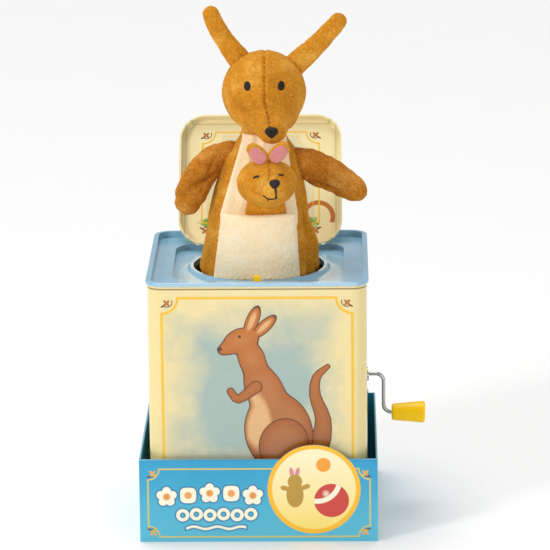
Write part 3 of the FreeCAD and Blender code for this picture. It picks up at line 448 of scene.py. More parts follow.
def draw_animal(paint, u, v, where):
    """A plain long-tailed hopping animal, seen from the side, in a few rounded shapes."""
    body = least(
        egg(u, v, (13.0, 70.0), (21.0, 26.0), 12),
        egg(u, v, (5.0, 96.0), (11.5, 20.0), 24),
        egg(u, v, (-3.5, 118.0), (8.0, 12.0), 20),
        blend=5.0,
    )
    skull, snout = egg(u, v, (-10.0, 130.0), (11.0, 7.6), 20), egg(u, v, (-18.0, 125.5), (6.5, 4.0), 24)
    head = least(skull, snout, blend=3.0)
    shape = least(body, head, blend=3.0)
    tail = chain(
        u, v,
        [(28.0, 54.0), (38.0, 62.0), (41.0, 78.0), (36.0, 94.0), (37.0, 106.0), (44.0, 113.0)],
        [8.5, 6.5, 4.6, 3.2, 2.3, 1.2],
    )
    ears = least(egg(u, v, (-3.0, 142.5), (9.5, 3.6), 68), egg(u, v, (4.5, 139.0), (9.0, 3.4), 44))
    arm = chain(u, v, [(-1.0, 100.0), (-12.0, 92.0), (-17.0, 97.0)], [3.6, 2.4, 2.0])
    thigh = egg(u, v, (16.0, 62.0), (15.0, 17.0), -20)
    foot = bar(u, v, (18.0, 47.0), (-14.0, 47.0), 5.0, 3.2)
    leg = least(thigh, foot, blend=4.0)
    belly = egg(u, v, (-1.0, 78.0), (9.0, 19.0), 10)
    shade = ((v - 40.0) / 110.0).unit()
    tone = paint.blend(FUR_DARK, FUR, shade)
    trunk = least(shape, ears)
    for part in (tail, trunk, arm, leg):
        outer = part.below(0.55, 0.3) * where
        inner = part.below(-0.1, 0.5) * where
        paint.layer(OUTLINE, outer)
        paint.layer(tone, inner)
        paint.layer(FUR_LIGHT, part.below(-3.0, 7.0) * inner * 0.16)
        if part is trunk:
            paint.layer(FUR_LIGHT, most(belly, part + 1.2).below(0.0, 3.0) * where * 0.85)
    eye_and_nose = least(disc(u, v, (-11.0, 132.5), 0.95), egg(u, v, (-23.6, 124.5), (1.7, 1.3)))
    paint.layer(OUTLINE, eye_and_nose.below(0.0, 0.3) * where)
    inner_ear = least(egg(u, v, (-3.2, 142.5), (6.2, 1.6), 68), egg(u, v, (4.6, 139.2), (5.8, 1.5), 44))
    paint.layer(FUR_LIGHT, inner_ear.below(0.0, 0.8) * where * 0.8)


def draw_tree(paint, u, v, where):
    """A round tree on a mound, on the panels without the animal."""
    mound = egg(u, v, (0.0, 38.0), (42.0, 12.0))
    paint.layer(GRASS, mound.below(0.0, 2.0) * where * 0.8)
    trunk = bar(u, v, (0.0, 42.0), (2.0, 84.0), 4.2, 2.6)
    paint.layer(FUR_DARK, trunk.below(0.0, 0.5) * where)
    crown = least(
        disc(u, v, (2.0, 104.0), 22.0), disc(u, v, (-16.0, 94.0), 13.0), disc(u, v, (19.0, 93.0), 14.0),
        blend=4.0,
    )
    paint.layer(GRASS, crown.below(0.0, 0.6) * where)
    paint.layer(srgb(160, 200, 96), crown.below(-9.0, 12.0) * where * 0.5)
    fruit_at = ((-14.0, 98.0), (0.0, 112.0), (14.0, 100.0), (4.0, 94.0), (20.0, 90.0))
    fruit = least(*[disc(u, v, at, 2.4) for at in fruit_at])
    paint.layer(ORNAMENT, fruit.below(0.0, 0.4) * where)


def blue_material():
    """Blue lacquer on the pressed top, a little paler where it has rubbed along the ridges."""
    paint = Paint("blue_tin", SKY, 0.22, Coat_Weight=0.6, Coat_Roughness=0.08, Specular_IOR_Level=0.5)
    x, y, z = paint.place()
    clouds = paint.cloud(26.0, 2.0)
    paint.layer(srgb(160, 202, 230), ((clouds - 0.5) * 2.2).unit() * 0.6)
    paint.layer(srgb(112, 166, 208), ((0.48 - clouds) * 2.5).unit() * 0.6)
    rubbed = most(abs(x), abs(y)) - (BOX_HALF + 0.6)
    marks = paint.cloud(2.2, 4.0, 0.7)
    paint.layer(srgb(205, 226, 238), (rubbed + (marks - 0.5) * 2.2).below(0.0, -0.6) * 0.35)
    # painted shade: the top is dark grey more than 9 mm below the deck, inside the box
    above_inner_shade = (z * -1.0).below(-(DECK_Z - 9.0), 2.0)
    paint.layer(srgb(70, 74, 78), 1.0 - above_inner_shade)
    paint.rough(scratches(paint) * 0.2 + clouds * 0.1 + 0.16)
    paint.bump(clouds * 0.7 + paint.cloud(7.0, 2.0) * 0.3, 0.5, 0.5)
    return paint.done()


def lid_material():
    """Cream print, a gold line and a misty middle: grass and a hoop inside the lid, a gold ring outside."""
    paint = Paint("cream_tin", CREAM, 0.3, Coat_Weight=0.5, Coat_Roughness=0.1)
    x, y, z = paint.place()
    lean = math.radians(LID_OPEN_DEG)
    up = (y - HINGE.y) * -math.cos(lean) + (z - HINGE.z) * math.sin(lean)
    depth = (y - HINGE.y) * math.sin(lean) + (z - HINGE.z) * math.cos(lean)
    mid, half = (0.0, 45.4), (38.5, 37.6)
    line = frame_line(x, up, mid, half, 8.5)
    wash = paint.cloud(20.0, 3.0)
    inner = frame_line(x, up, mid, (half[0] - 4.0, half[1] - 3.0), 10.0)
    paint.layer(MIST, (inner + (wash - 0.5) * 6.0).below(-2.0, 10.0) * 0.55)
    tufts = least(
        egg(x, up, (-30.0, 16.0), (9.0, 4.0)),
        egg(x, up, (29.0, 16.0), (9.0, 4.0)),
        egg(x, up, (0.0, 13.0), (26.0, 4.0)),
    ) + (paint.cloud(3.0, 3.0) - 0.5) * 5.0
    within = depth.below(2.1, 0.3)
    paint.layer(GRASS, tufts.below(0.0, 1.2) * within)
    hoop = most(abs(egg(x, up, (38.0, 20.0), (9.5, 10.5))) - 1.5, 16.0 - up)
    paint.layer(FUR, hoop.below(0.0, 0.5) * within)
    sun = disc(x, up, mid, 12.0)
    paint.layer(ORNAMENT, (abs(sun) - 1.2).below(0.0, 0.35) * (1.0 - within))
    paint.layer(ORNAMENT, disc(x, up, mid, 5.0).below(0.0, 0.35) * (1.0 - within))
    petals, stalks = ornaments(x, up, mid, (half[0] + 1.0, half[1] + 1.0))
    paint.layer(ORNAMENT, petals.below(0.0, 0.35))
    paint.layer(ORNAMENT_DARK, stalks.below(0.0, 0.3))
    paint.layer(LINE, (abs(line) - 0.5).below(0.0, 0.3))
    paint.layer(LINE, (abs(inner) - 0.22).below(0.0, 0.25) * 0.8)
    # painted shade: a faint darker line along the fold between the lid's panel and its skirt
    fold = most(abs(x) - 49.6, abs(up - mid[1]) - 43.7)
    paint.layer(srgb(120, 132, 84), (abs(fold) - 0.5).below(0.0, 0.6) * 0.35)
    paint.rough(scratches(paint) * 0.15 + wash * 0.08 + 0.2)
    paint.bump(paint.cloud(18.0, 2.0), 0.4, 0.4)
    return paint.done()


def tray_material():
    """Printed card: a blue wash, a gold line, a round picture and rows of plain shapes."""
    paint = Paint("printed_card", TRAY_BLUE, 0.42, Coat_Weight=0.25, Coat_Roughness=0.25)
    x, y, z = paint.place()
    _nx, ny, nz = paint.facing()
    up = (z / TRAY_TOP).unit()
    wash = paint.cloud(34.0, 2.0)
    paint.layer(TRAY_PALE, ((1.0 - up) * 1.2 - 0.25).unit() * 0.75)
    paint.layer(TRAY_DEEP, (up - 0.45).unit() * 0.9)
    paint.layer(TRAY_PALE, ((wash - 0.55) * 2.0).unit() * 0.4)
    on_x = abs(ny).op("GREATER_THAN", 0.6)
    u = x * on_x + y * (1.0 - on_x)
    outer = most(abs(x), abs(y)).op("GREATER_THAN", TRAY_HALF - 0.4)
    mid, half = (0.3, 25.6), (70.0, 22.4)
    line = frame_line(u, z, mid, half, 7.0)
    petals, stalks = ornaments(u, z, mid, (half[0] + 0.2, half[1] + 0.2))
    paint.layer(srgb(230, 170, 60), petals.below(0.0, 0.35) * outer)
    paint.layer(ORNAMENT_DARK, stalks.below(0.0, 0.3) * outer)
    paint.layer(srgb(214, 196, 96), (abs(line) - 0.5).below(0.0, 0.3) * outer)
    front = (ny * -1.0).op("GREATER_THAN", 0.6) * outer
    draw_toys(paint, x, z, front)
    draw_badge(paint, x, z, front)
    cut = abs(nz).op("GREATER_THAN", 0.9) * z.op("GREATER_THAN", 5.0)
    paint.layer(srgb(150, 190, 205), cut * 0.6)
    fibres = paint.cloud(0.8, 4.0, 0.7)
    paint.rough(fibres * 0.15 + wash * 0.1 + 0.3)
    paint.bump(fibres * 0.4 + wash, 0.12, 0.6)
    return paint.done()


def draw_toys(paint, u, v, where):
    """Two rows of plain shapes, such as balls, flowers, blocks and hoops, where a title would be."""
    ink = srgb(0, 92, 150)
    spots = [(-58.0 + n * 13.6, 31.0 - 1.2 * math.cos(n * 1.3)) for n in range(5)]
    big, hearts = [], []
    for n, at in enumerate(spots):
        if n % 2 == 0:
            big.append(least(*[
                disc(u, v, (at[0] + 3.9 * math.sin(k * 1.2566), at[1] + 3.9 * math.cos(k * 1.2566)), 2.7)
                for k in range(5)
            ], blend=0.8))
        else:
            big.append(most(abs(u - at[0]), abs(v - at[1])).op("SMOOTH_MAX", disc(u, v, at, 0.8), 2.0) - 5.2)
        hearts.append(disc(u, v, at, 2.3))
    row, heart = least(*big), least(*hearts)
    hoops = least(*[abs(disc(u, v, (-48.0 + n * 8.6, 17.6 + 0.6 * (n % 2)), 3.0)) - 1.15 for n in range(6)])
    wave = (u * 0.42).op("SINE") * 0.8
    ribbon = most(abs(v - 9.2 - wave) - 0.85, abs(u + 27.0) - 19.0)
    for shape in (row, hoops, ribbon):
        paint.layer(ink, shape.below(0.9, 0.4) * where * 0.7)
        paint.layer(WHITE, shape.below(0.0, 0.4) * where)
    paint.layer(srgb(236, 150, 40), heart.below(0.0, 0.4) * where * 0.9)


def draw_badge(paint, u, v, where):
    """A round picture in a yellow ring: a puppet, a ball and a sun."""
    at = (BADGE_X, BADGE_Z)
    rim = disc(u, v, at, BADGE_R)
    inside = disc(u, v, at, BADGE_R - 2.6)
    paint.layer(srgb(252, 190, 30), rim.below(0.3, 0.4) * where)
    field = paint.blend(srgb(252, 226, 120), srgb(250, 240, 196), ((v - 10.0) / 45.0).unit())
    paint.layer(field, inside.below(0.0, 0.4) * where)
    room = inside.below(-0.3, 0.3) * where
    puppet = least(
        egg(u, v, (at[0] - 12.0, at[1] - 4.0), (5.4, 8.0)),
        disc(u, v, (at[0] - 12.0, at[1] + 5.0), 4.6),
        bar(u, v, (at[0] - 12.0, at[1] - 1.0), (at[0] - 4.0, at[1] + 2.0), 1.5),
        bar(u, v, (at[0] - 12.0, at[1] - 1.0), (at[0] - 19.5, at[1] + 1.0), 1.5),
        blend=1.0,
    )
    ears = least(
        egg(u, v, (at[0] - 14.0, at[1] + 11.0), (1.4, 3.4), 12),
        egg(u, v, (at[0] - 10.4, at[1] + 11.0), (1.4, 3.4), -12),
    )
    paint.layer(srgb(214, 140, 150), ears.below(0.0, 0.4) * room)
    paint.layer(srgb(186, 148, 50), puppet.below(0.0, 0.4) * room)
    ball = disc(u, v, (at[0] + 11.0, at[1] - 7.5), 11.0)
    paint.layer(srgb(206, 64, 52), ball.below(0.0, 0.4) * room)
    stripe = most(abs(disc(u, v, (at[0] + 2.0, at[1] + 6.0), 14.0)) - 1.6, ball)
    paint.layer(WHITE, stripe.below(0.0, 0.4) * room)
    paint.layer(WHITE, disc(u, v, (at[0] + 7.5, at[1] - 3.0), 1.8).below(0.0, 2.0) * room * 0.7)
    sun = disc(u, v, (at[0] + 6.0, at[1] + 16.0), 4.6)
    paint.layer(srgb(246, 160, 40), sun.below(0.0, 0.5) * room)


MATERIALS = {
    "printed_card": tray_material(),
    "printed_tin": tin_material(),
    "bare_tin": metal("bare_tin", srgb(196, 196, 190), 0.38, 1.5, (1.0, 8.0, 1.0)),
    "blue_tin": blue_material(),
    "cream_tin": lid_material(),
    "steel_wire": metal("steel_wire", srgb(188, 188, 186), 0.3),
    "brass": metal("brass", srgb(214, 176, 96), 0.3),
    "zinc": metal("zinc", srgb(170, 172, 174), 0.45),
    # the yellow plastic has a painted glow, an emission of 0.14
    "yellow_plastic": moulded("yellow_plastic", srgb(255, 200, 0), 0.34, 0.14),
    "white_plastic": moulded("white_plastic", srgb(232, 230, 222), 0.5),
    "lining_cloth": plush(
        "lining_cloth", srgb(120, 70, 20), srgb(160, 100, 32), srgb(186, 126, 50), 0.9, 0.2, 0.2
    ),
    "golden_plush": plush("golden_plush", srgb(160, 94, 20), srgb(210, 138, 32), srgb(246, 190, 88)),
    "brown_plush": plush("brown_plush", srgb(128, 72, 18), srgb(192, 120, 32), srgb(236, 172, 84)),
    "cream_plush": plush(
        "cream_plush", srgb(252, 216, 162), srgb(255, 232, 192), srgb(255, 245, 220), 1.6, 0.35, 0.4
    ),
    "pink_felt": felt("pink_felt", srgb(206, 126, 124), srgb(234, 168, 160)),
    "black_thread": thread("black_thread", srgb(22, 16, 14)),
}


def dress(obj, slot):
    """Gives a piece or a node its material."""
    obj.data.materials.clear()
    obj.data.materials.append(MATERIALS[slot])


for subpart in frame["record"]["subparts"]:
    node = frame["nodes"].get(subpart["node"])
    if node:
        dress(node, subpart["material_slot"])
        for face in node.data.polygons:
            face.use_smooth = True


# ---- meshes ----------------------------------------------------
def make(name, points, faces):
    """A mesh object from points in millimetres."""
    mesh = bpy.data.meshes.new(name)
    mesh.from_pydata([Vector(p) * MM for p in points], [], faces)
    mesh.update()
    obj = bpy.data.objects.new(name, mesh)
    bpy.context.scene.collection.objects.link(obj)
    return obj


def rings_mesh(name, rings, closed_ends=True):
    """Joins rings of equally many points into a tube, with a point at each end if closed_ends."""
    count = len(rings[0])
    points = [p for ring in rings for p in ring]
    faces = []
    for r in range(len(rings) - 1):
        for n in range(count):
            m = (n + 1) % count
            faces.append((r * count + n, r * count + m, (r + 1) * count + m, (r + 1) * count + n))
    if closed_ends:
        for ring, first, flip in ((rings[0], 0, True), (rings[-1], (len(rings) - 1) * count, False)):
            centre = sum((Vector(p) for p in ring), Vector()) / count
            points.append(centre)
            hub = len(points) - 1
            for n in range(count):
                m = (n + 1) % count
                face = (first + n, first + m, hub)
                faces.append(face[::-1] if flip else face)
    return make(name, points, faces)


def limb(name, stations, flat_axis=(0, 1, 0), steps=5, sides=28):
    """A stuffed limb through stations (x, y, z, half width, half depth), rounded at both ends.

    The depth is measured along flat_axis and the width across it."""
    path = smooth_path([Vector(s[:3]) for s in stations], steps)
    sizes = smooth_path([Vector((s[3], s[4], 0)) for s in stations], steps)
    spots = [(p, s.x, s.y, 1.0) for p, s in zip(path, sizes)]
    first_dir = (path[1] - path[0]).normalized()
    last_dir = (path[-1] - path[-2]).normalized()

    def cap(centre, size, direction):
        return [
            (centre + direction * size.x * math.sin(a), size.x, size.y, math.cos(a))
            for a in (math.pi / 2 * k / 6 for k in range(1, 6))
        ]

    spots = cap(path[0], sizes[0], -first_dir)[::-1] + spots + cap(path[-1], sizes[-1], last_dir)
    rings = []
    for n, (p, w, d, share) in enumerate(spots):
        ahead = spots[min(n + 1, len(spots) - 1)][0] - spots[max(n - 1, 0)][0]
        along = ahead.normalized()
        deep = (Vector(flat_axis) - along * along.dot(Vector(flat_axis))).normalized()
        wide = along.cross(deep)
        rings.append([
            p + wide * (w * share * math.cos(t)) + deep * (d * share * math.sin(t))
            for t in (2 * math.pi * k / sides for k in range(sides))
        ])
    return rings_mesh(name, rings)


def ball(name, centre, half, rings=18, sides=32):
    """An ellipsoid of rings."""
    made = []
    for r in range(1, rings):
        a = math.pi * r / rings - math.pi / 2
        made.append([
            Vector(centre) + Vector((
                half[0] * math.cos(a) * math.cos(t),
                half[1] * math.cos(a) * math.sin(t),
                half[2] * math.sin(a),
            ))
            for t in (2 * math.pi * k / sides for k in range(sides))
        ])
    return rings_mesh(name, made)


def baked(obj):
    """Applies an object's modifiers."""
    bpy.context.view_layer.update()
    graph = bpy.context.evaluated_depsgraph_get()
    mesh = bpy.data.meshes.new_from_object(obj.evaluated_get(graph))
    obj.modifiers.clear()
    old, obj.data = obj.data, mesh
    mesh.name = obj.name
    bpy.data.meshes.remove(old)
    return obj


def joined(name, parts):
    """One mesh out of several, still overlapping."""
    merged = bmesh.new()
    for part in parts:
        merged.from_mesh(part.data)
        bpy.data.objects.remove(part)
    mesh = bpy.data.meshes.new(name)
    merged.to_mesh(mesh)
    merged.free()
    obj = bpy.data.objects.new(name, mesh)
    bpy.context.scene.collection.objects.link(obj)
    return obj


def fuse(name, parts, voxel=1.4, smoothing=6):
    """Melts overlapping closed forms into one fine skin."""
    obj = joined(name, parts)
    remesh = obj.modifiers.new("remesh", "REMESH")
    remesh.mode = "VOXEL"
    remesh.voxel_size = voxel * MM
    soften = obj.modifiers.new("soften", "SMOOTH")
    soften.factor = 0.8
    soften.iterations = smoothing
    finer = obj.modifiers.new("finer", "SUBSURF")
    finer.levels = finer.render_levels = 1
    return baked(obj)


def sculpt(obj, move):
    """Moves each vertex along its normal by move(point), in millimetres."""
    mesh = obj.data
    normals = [v.normal.copy() for v in mesh.vertices]
    for vertex, normal in zip(mesh.vertices, normals):
        vertex.co += normal * (move(vertex.co / MM) * MM)
    mesh.update()
    return obj


def pile(obj, depth=0.5, size=1.3, levels=0):
    """Gives a plush skin its tufts, as real relief."""
    if levels:
        finer = obj.modifiers.new("finer", "SUBSURF")
        finer.levels = finer.render_levels = levels
    for scale, strength in ((size, depth), (size * 0.45, depth * 0.5)):
        texture = bpy.data.textures.new(obj.name + "_tufts", "CLOUDS")
        texture.noise_scale = scale * MM
        texture.noise_depth = 1
        tufts = obj.modifiers.new("tufts", "DISPLACE")
        tufts.texture = texture
        tufts.texture_coords = "LOCAL"
        tufts.strength = strength * MM
        tufts.mid_level = 0.5
    baked(obj)
    for face in obj.data.polygons:
        face.use_smooth = True
    return obj


def finish_piece(obj, slot, body, nodes=()):
    dress(obj, slot)
    for face in obj.data.polygons:
        face.use_smooth = True
    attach(obj, body)
    if nodes:
        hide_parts(*nodes)
    return obj


# ---- the puppet's head -----------------------------------------
HEAD_AT = Vector((4.4, -1.5, 275.0))


def groove(distance, width, depth):
    """A rounded channel of depth at distance 0."""
    return -depth * math.exp(-(distance / width) ** 2)


def seam_x(z):
    """The middle seam leans towards the nose as it comes down the face."""
    return 5.2 + 4.2 * max(0.0, (274.0 - z) / 16.0)


def head_relief(p):
    """The seam down the face, hollows at the eyes, and soft lumps of stuffing."""
    move = 0.5 * noise.noise(p / 14.0)
    if p.y < 6.0 and p.z > 256.0:
        move += groove(p.x - seam_x(p.z), 0.8, 1.2) * (0.7 + 0.3 * math.sin(p.z * 2.4))
        move += 0.45 * math.exp(-((abs(p.x - seam_x(p.z)) - 2.0) / 1.4) ** 2)
    for eye in EYES:
        away = ((p.x - eye[0]) ** 2 + (p.z - eye[1]) ** 2) ** 0.5
        if p.y < -10.0:
            move += groove(away, 5.0, 0.9)
    return move


EYES = ((-5.6, 282.8), (15.8, 282.8))
head = fuse("head_plush", [
    ball("skull", HEAD_AT, (26.8, 25.4, 26.6)),
    ball("cheeks", (6.6, -9.0, 264.0), (20.5, 19.0, 15.5)),
    limb(
        "muzzle",
        [(6.5, -12.0, 266.0, 17.0, 15.0), (8.4, -22.6, 260.0, 13.6, 12.6), (9.6, -30.2, 256.6, 10.0, 9.2)],
        flat_axis=(0, 0.4, 1),
    ),
], voxel=1.3, smoothing=10)
sculpt(head, head_relief)
pile(head)
finish_piece(head, "golden_plush", "puppet", ("puppet_head",))


def surface_y(obj, x, z, start=-90.0):
    """Where a ray from the front meets obj at (x, z), in millimetres."""
    hit, at = obj.ray_cast(Vector((x, start, z)) * MM, Vector((0, 1, 0)))[:2]
    return at.y / MM if hit else None


def stitched_patch(name, host, at, half, outline, bulge=1.1, lean=0.0, rows=10, sides=36):
    """A padded patch of satin stitch that lies on the face: a dome on the host's own surface."""
    rings = []
    for r in range(rows + 1):
        share = 1.0 - r / rows
        ring = []
        for k in range(sides):
            t = 2 * math.pi * k / sides
            u, v = outline(t)
            x = at[0] + share * (u * half[0] * math.cos(lean) - v * half[1] * math.sin(lean))
            z = at[1] + share * (u * half[0] * math.sin(lean) + v * half[1] * math.cos(lean))
            y = surface_y(host, x, z)
            dome = bulge * math.sqrt(max(0.0, 1.0 - share * share)) - 0.5
            stitch = 0.1 * math.sin(z * 2 * math.pi / 0.7)
            ring.append((x, y - dome - stitch, z))
        rings.append(ring)
    rim = [(x, y + 1.6, z) for x, y, z in rings[0]]
    return rings_mesh(name, [rim] + rings[:-1])


def round_outline(t):
    return math.cos(t), math.sin(t)


def nose_outline(t):
    """A soft triangle, wide on top."""
    u, v = math.cos(t), math.sin(t)
    width = 1.0 + 0.22 * v if v > 0 else 1.0 + 0.5 * v
    return u * width, v


eyes = joined("eye_stitching", [
    stitched_patch("eye", head, eye, (2.5, 3.3), round_outline) for eye in EYES
])
finish_piece(eyes, "black_thread", "puppet", ("puppet_eyes",))
nose = stitched_patch("nose_stitching", head, (9.6, 256.4), (4.5, 3.9), nose_outline, bulge=1.7)
finish_piece(nose, "black_thread", "puppet", ("puppet_nose",))


def seam_stitches(name, host, middle, heights):
    """Small stitches that cross a seam, each a short bar sunk into the pile."""
    made = []
    for n, z in enumerate(heights):
        x = middle(z)
        y = surface_y(host, x + 0.5, z)
        slant = 0.35 if n % 2 else -0.35
        made.append(limb(
            name, [(x - 0.9, y + 0.15, z - slant, 0.3, 0.3), (x, y - 0.1, z, 0.34, 0.34),
                   (x + 0.9, y + 0.15, z + slant, 0.3, 0.3)], steps=2, sides=8,
        ))
    return joined(name, made)


seam = seam_stitches("head_seam_stitches", head, seam_x, [262.5 + 1.7 * n for n in range(22)])
finish_piece(seam, "brown_plush", "puppet")


# ---- ears ------------------------------------------------------
def ear_relief(p):
    return 0.45 * noise.noise(p / 9.0)


EARS = {
    "left": [(-5.0, 0.5, 287.0, 7.4, 4.4), (-12.6, 0.0, 297.5, 7.3, 3.8), (-19.4, 0.0, 307.0, 6.5, 3.3),
             (-25.2, 0.8, 316.5, 5.9, 3.1), (-28.6, 1.6, 324.6, 5.5, 2.9)],
    "right": [(18.0, 0.5, 286.0, 7.6, 4.6), (27.6, 0.0, 295.0, 7.6, 4.0), (38.0, 0.0, 304.6, 6.6, 3.4),
              (47.0, 0.8, 313.8, 6.0, 3.1), (52.0, 1.6, 319.4, 5.5, 2.9)],
}
for side, stations in EARS.items():
    ear = limb("ear_" + side + "_plush", stations)
    ear = fuse("ear_" + side + "_plush", [ear], voxel=1.0, smoothing=3)
    sculpt(ear, ear_relief)
    pile(ear)
    finish_piece(ear, "golden_plush", "puppet", ("ear_" + side,))
    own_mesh(ear)


# ---- the torso -------------------------------------------------
# height, middle x, half width, half depth
TORSO = [
    (TORSO_FOOT + 0.4, 0.5, 38.2, 36.6), (162.0, 0.7, 38.0, 36.0), (172.0, 0.9, 36.2, 33.0),
    (182.0, 0.9, 34.4, 30.0), (196.0, 0.4, 32.2, 26.2), (210.0, 0.8, 29.4, 22.8),
    (222.0, 1.8, 26.6, 20.4), (232.0, 2.6, 24.2, 18.6), (239.0, 3.2, 20.0, 16.4),
    (246.0, 3.6, 15.0, 14.0), (254.0, 4.0, 13.0, 12.5),
]


def torso_at(z):
    """Middle x, half width and half depth of the torso at height z."""
    for (z0, *a), (z1, *b) in zip(TORSO, TORSO[1:]):
        if z <= z1:
            t = max(0.0, (z - z0) / (z1 - z0))
            return [p + (q - p) * t for p, q in zip(a, b)]
    return TORSO[-1][1:]


def torso_fold(angle, z):
    """Lengthwise folds of the loose cloth, deepest at the hole."""
    loose = max(0.0, min(1.0, (232.0 - z) / 60.0))
    fold = 0.8 * math.sin(angle * 7 + z / 26.0) + 0.5 * math.sin(angle * 12 - z / 17.0 + 1.0)
    deep = -4.6 * math.exp(-((angle + 0.56 - (z - 160.0) * 0.006) / 0.09) ** 2)
    deep -= 3.4 * math.exp(-((angle + 0.22 + (z - 160.0) * 0.003) / 0.08) ** 2)
    deep -= 2.6 * math.exp(-((angle + math.pi - 0.42 + (z - 160.0) * 0.002) / 0.09) ** 2)
    elbow = 1.8 * math.exp(-((angle + 0.12) / 0.35) ** 2 - ((z - 176.0) / 9.0) ** 2)
    elbow -= 1.6 * math.exp(-((angle + 0.10) / 0.35) ** 2 - ((z - 194.0) / 8.0) ** 2)
    return loose * (fold * 0.8 + deep) + elbow


def torso_skin(name):
    rings = []
    path = smooth_path([Vector((z, cx, w)) for z, cx, w, _d in TORSO], 8)
    depths = smooth_path([Vector((d, 0, 0)) for *_rest, d in TORSO], 8)
    for spot, depth in zip(path, depths):
        z, cx, w = spot
        ring = []
        for k in range(144):
            t = -math.pi + 2 * math.pi * k / 144
            grow = torso_fold(t, z)
            ring.append((cx + (w + grow) * math.cos(t), (depth.x + grow) * math.sin(t), z))
        rings.append(ring)
    return rings_mesh(name, rings, closed_ends=False)


torso = torso_skin("torso_plush")
thick = torso.modifiers.new("thick", "SOLIDIFY")
thick.thickness = 1.3 * MM
thick.offset = -1.0
baked(torso)
pile(torso, levels=1)
finish_piece(torso, "golden_plush", "puppet", ("puppet_torso",))


def front_y(x, z, grow=0.0):
    """The torso's front surface, grown by grow."""
    cx, w, d = torso_at(z)
    share = max(0.0, 1.0 - ((x - cx) / (w + grow)) ** 2)
    return -(d + grow) * math.sqrt(share)


def cloth_panel(name, left, right, z0, z1, front, thickness, nu=60, nv=50, bead=0.8):
    """A closed panel between left(z) and right(z), rounded at its edges. front gives its outer face."""
    points, faces = [], []
    for back in (False, True):
        for j in range(nv + 1):
            t = j / nv
            z = z0 + (z1 - z0) * t
            for i in range(nu + 1):
                s = i / nu
                width = right(z) - left(z)
                x = left(z) + width * s
                edge = min(s * width, (1 - s) * width, t * (z1 - z0), (1 - t) * (z1 - z0))
                full = math.sqrt(max(0.0, 1.0 - max(0.0, 1.0 - edge / bead) ** 2))
                y = front(x, z, s, t)
                middle = y + thickness / 2
                points.append((x, middle + (thickness / 2 * full) * (1 if back else -1), z))
    half = (nu + 1) * (nv + 1)
    for j in range(nv):
        for i in range(nu):
            a = j * (nu + 1) + i
            b, c, d = a + 1, a + nu + 2, a + nu + 1
            faces.append((a, b, c, d))
            faces.append((half + d, half + c, half + b, half + a))
    obj = make(name, points, faces)
    weld = obj.modifiers.new("weld", "WELD")
    weld.merge_threshold = 0.00002
    return baked(obj)


def ramp(z, z0, v0, z1, v1):
    t = max(0.0, min(1.0, (z - z0) / (z1 - z0)))
    return v0 + (v1 - v0) * t


def bib_front(x, z, s, _t):
    folds = 0.7 * math.sin(s * 17.0 + z / 14.0) * math.sin(math.pi * s) + 0.3 * math.sin(s * 31.0)
    return front_y(x, z, 1.5) - 0.6 - folds


bib = cloth_panel(
    "bib_plush",
    lambda z: ramp(z, 200.0, -24.0, 247.0, -9.6),
    lambda z: ramp(z, 200.0, 25.6, 247.0, 18.6),
    192.0, 250.0, bib_front, 2.2,
)
pile(bib, depth=0.35, levels=1)
finish_piece(bib, "cream_plush", "puppet", ("bib",))


POUCH_FOOT, POUCH_TOP = 160.6, 203.8


def pouch_front(x, _z, s, t):
    """Hangs full: furthest out at half its height, and drawn in towards the torso at its sides."""
    reach = 41.2 + 0.5 * math.sin(math.pi * t)
    side = 1.2 * abs(2 * s - 1) ** 3
    sag = 0.5 * math.sin(s * 9.0 + 1.0) * (1 - t) + 0.4 * math.sin(s * 5.0 + t * 6.0)
    return -math.sqrt(max(1.0, (reach - side) ** 2 - (0.8 * x) ** 2)) - sag


pouch = cloth_panel(
    "pouch_plush",
    lambda z: ramp(z, POUCH_FOOT, -28.4, POUCH_TOP, -22.9),
    lambda z: ramp(z, POUCH_FOOT, 27.2, POUCH_TOP, 24.6),
    POUCH_FOOT, POUCH_TOP, pouch_front, 4.6, bead=2.3,
)
pile(pouch, depth=0.6, size=1.5, levels=1)
finish_piece(pouch, "cream_plush", "puppet", ("pouch",))
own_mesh(pouch)


# ---- arms ------------------------------------------------------
def crease(p, start, end, width, depth):
    """A fold pressed in along a line in the X-Z plane, fading at its ends."""
    line = Vector((end[0] - start[0], end[1] - start[1]))
    away = Vector((p.x - start[0], p.z - start[1]))
    share = away.dot(line) / line.length_squared
    across = (away - line * share).length
    fade = max(0.0, 1.0 - (2 * share - 1.0) ** 4) if 0.0 < share < 1.0 else 0.0
    return groove(across, width, depth) * fade


def arm_relief(p):
    """Creases, puckers and lumps of a loosely stuffed arm."""
    move = 0.9 * noise.noise(p / 10.0) + 0.6 * noise.noise(p / 5.0)
    if p.y < -3.0:
        move += crease(p, (-21.0, 226.0), (-45.0, 214.0), 1.8, 3.0)
        move += crease(p, (-26.0, 236.0), (-36.0, 212.0), 1.5, 1.2)
        move += crease(p, (30.0, 219.0), (52.0, 211.0), 1.9, 3.2)
        move += crease(p, (38.0, 227.0), (60.0, 214.0), 1.6, 1.3)
    return move


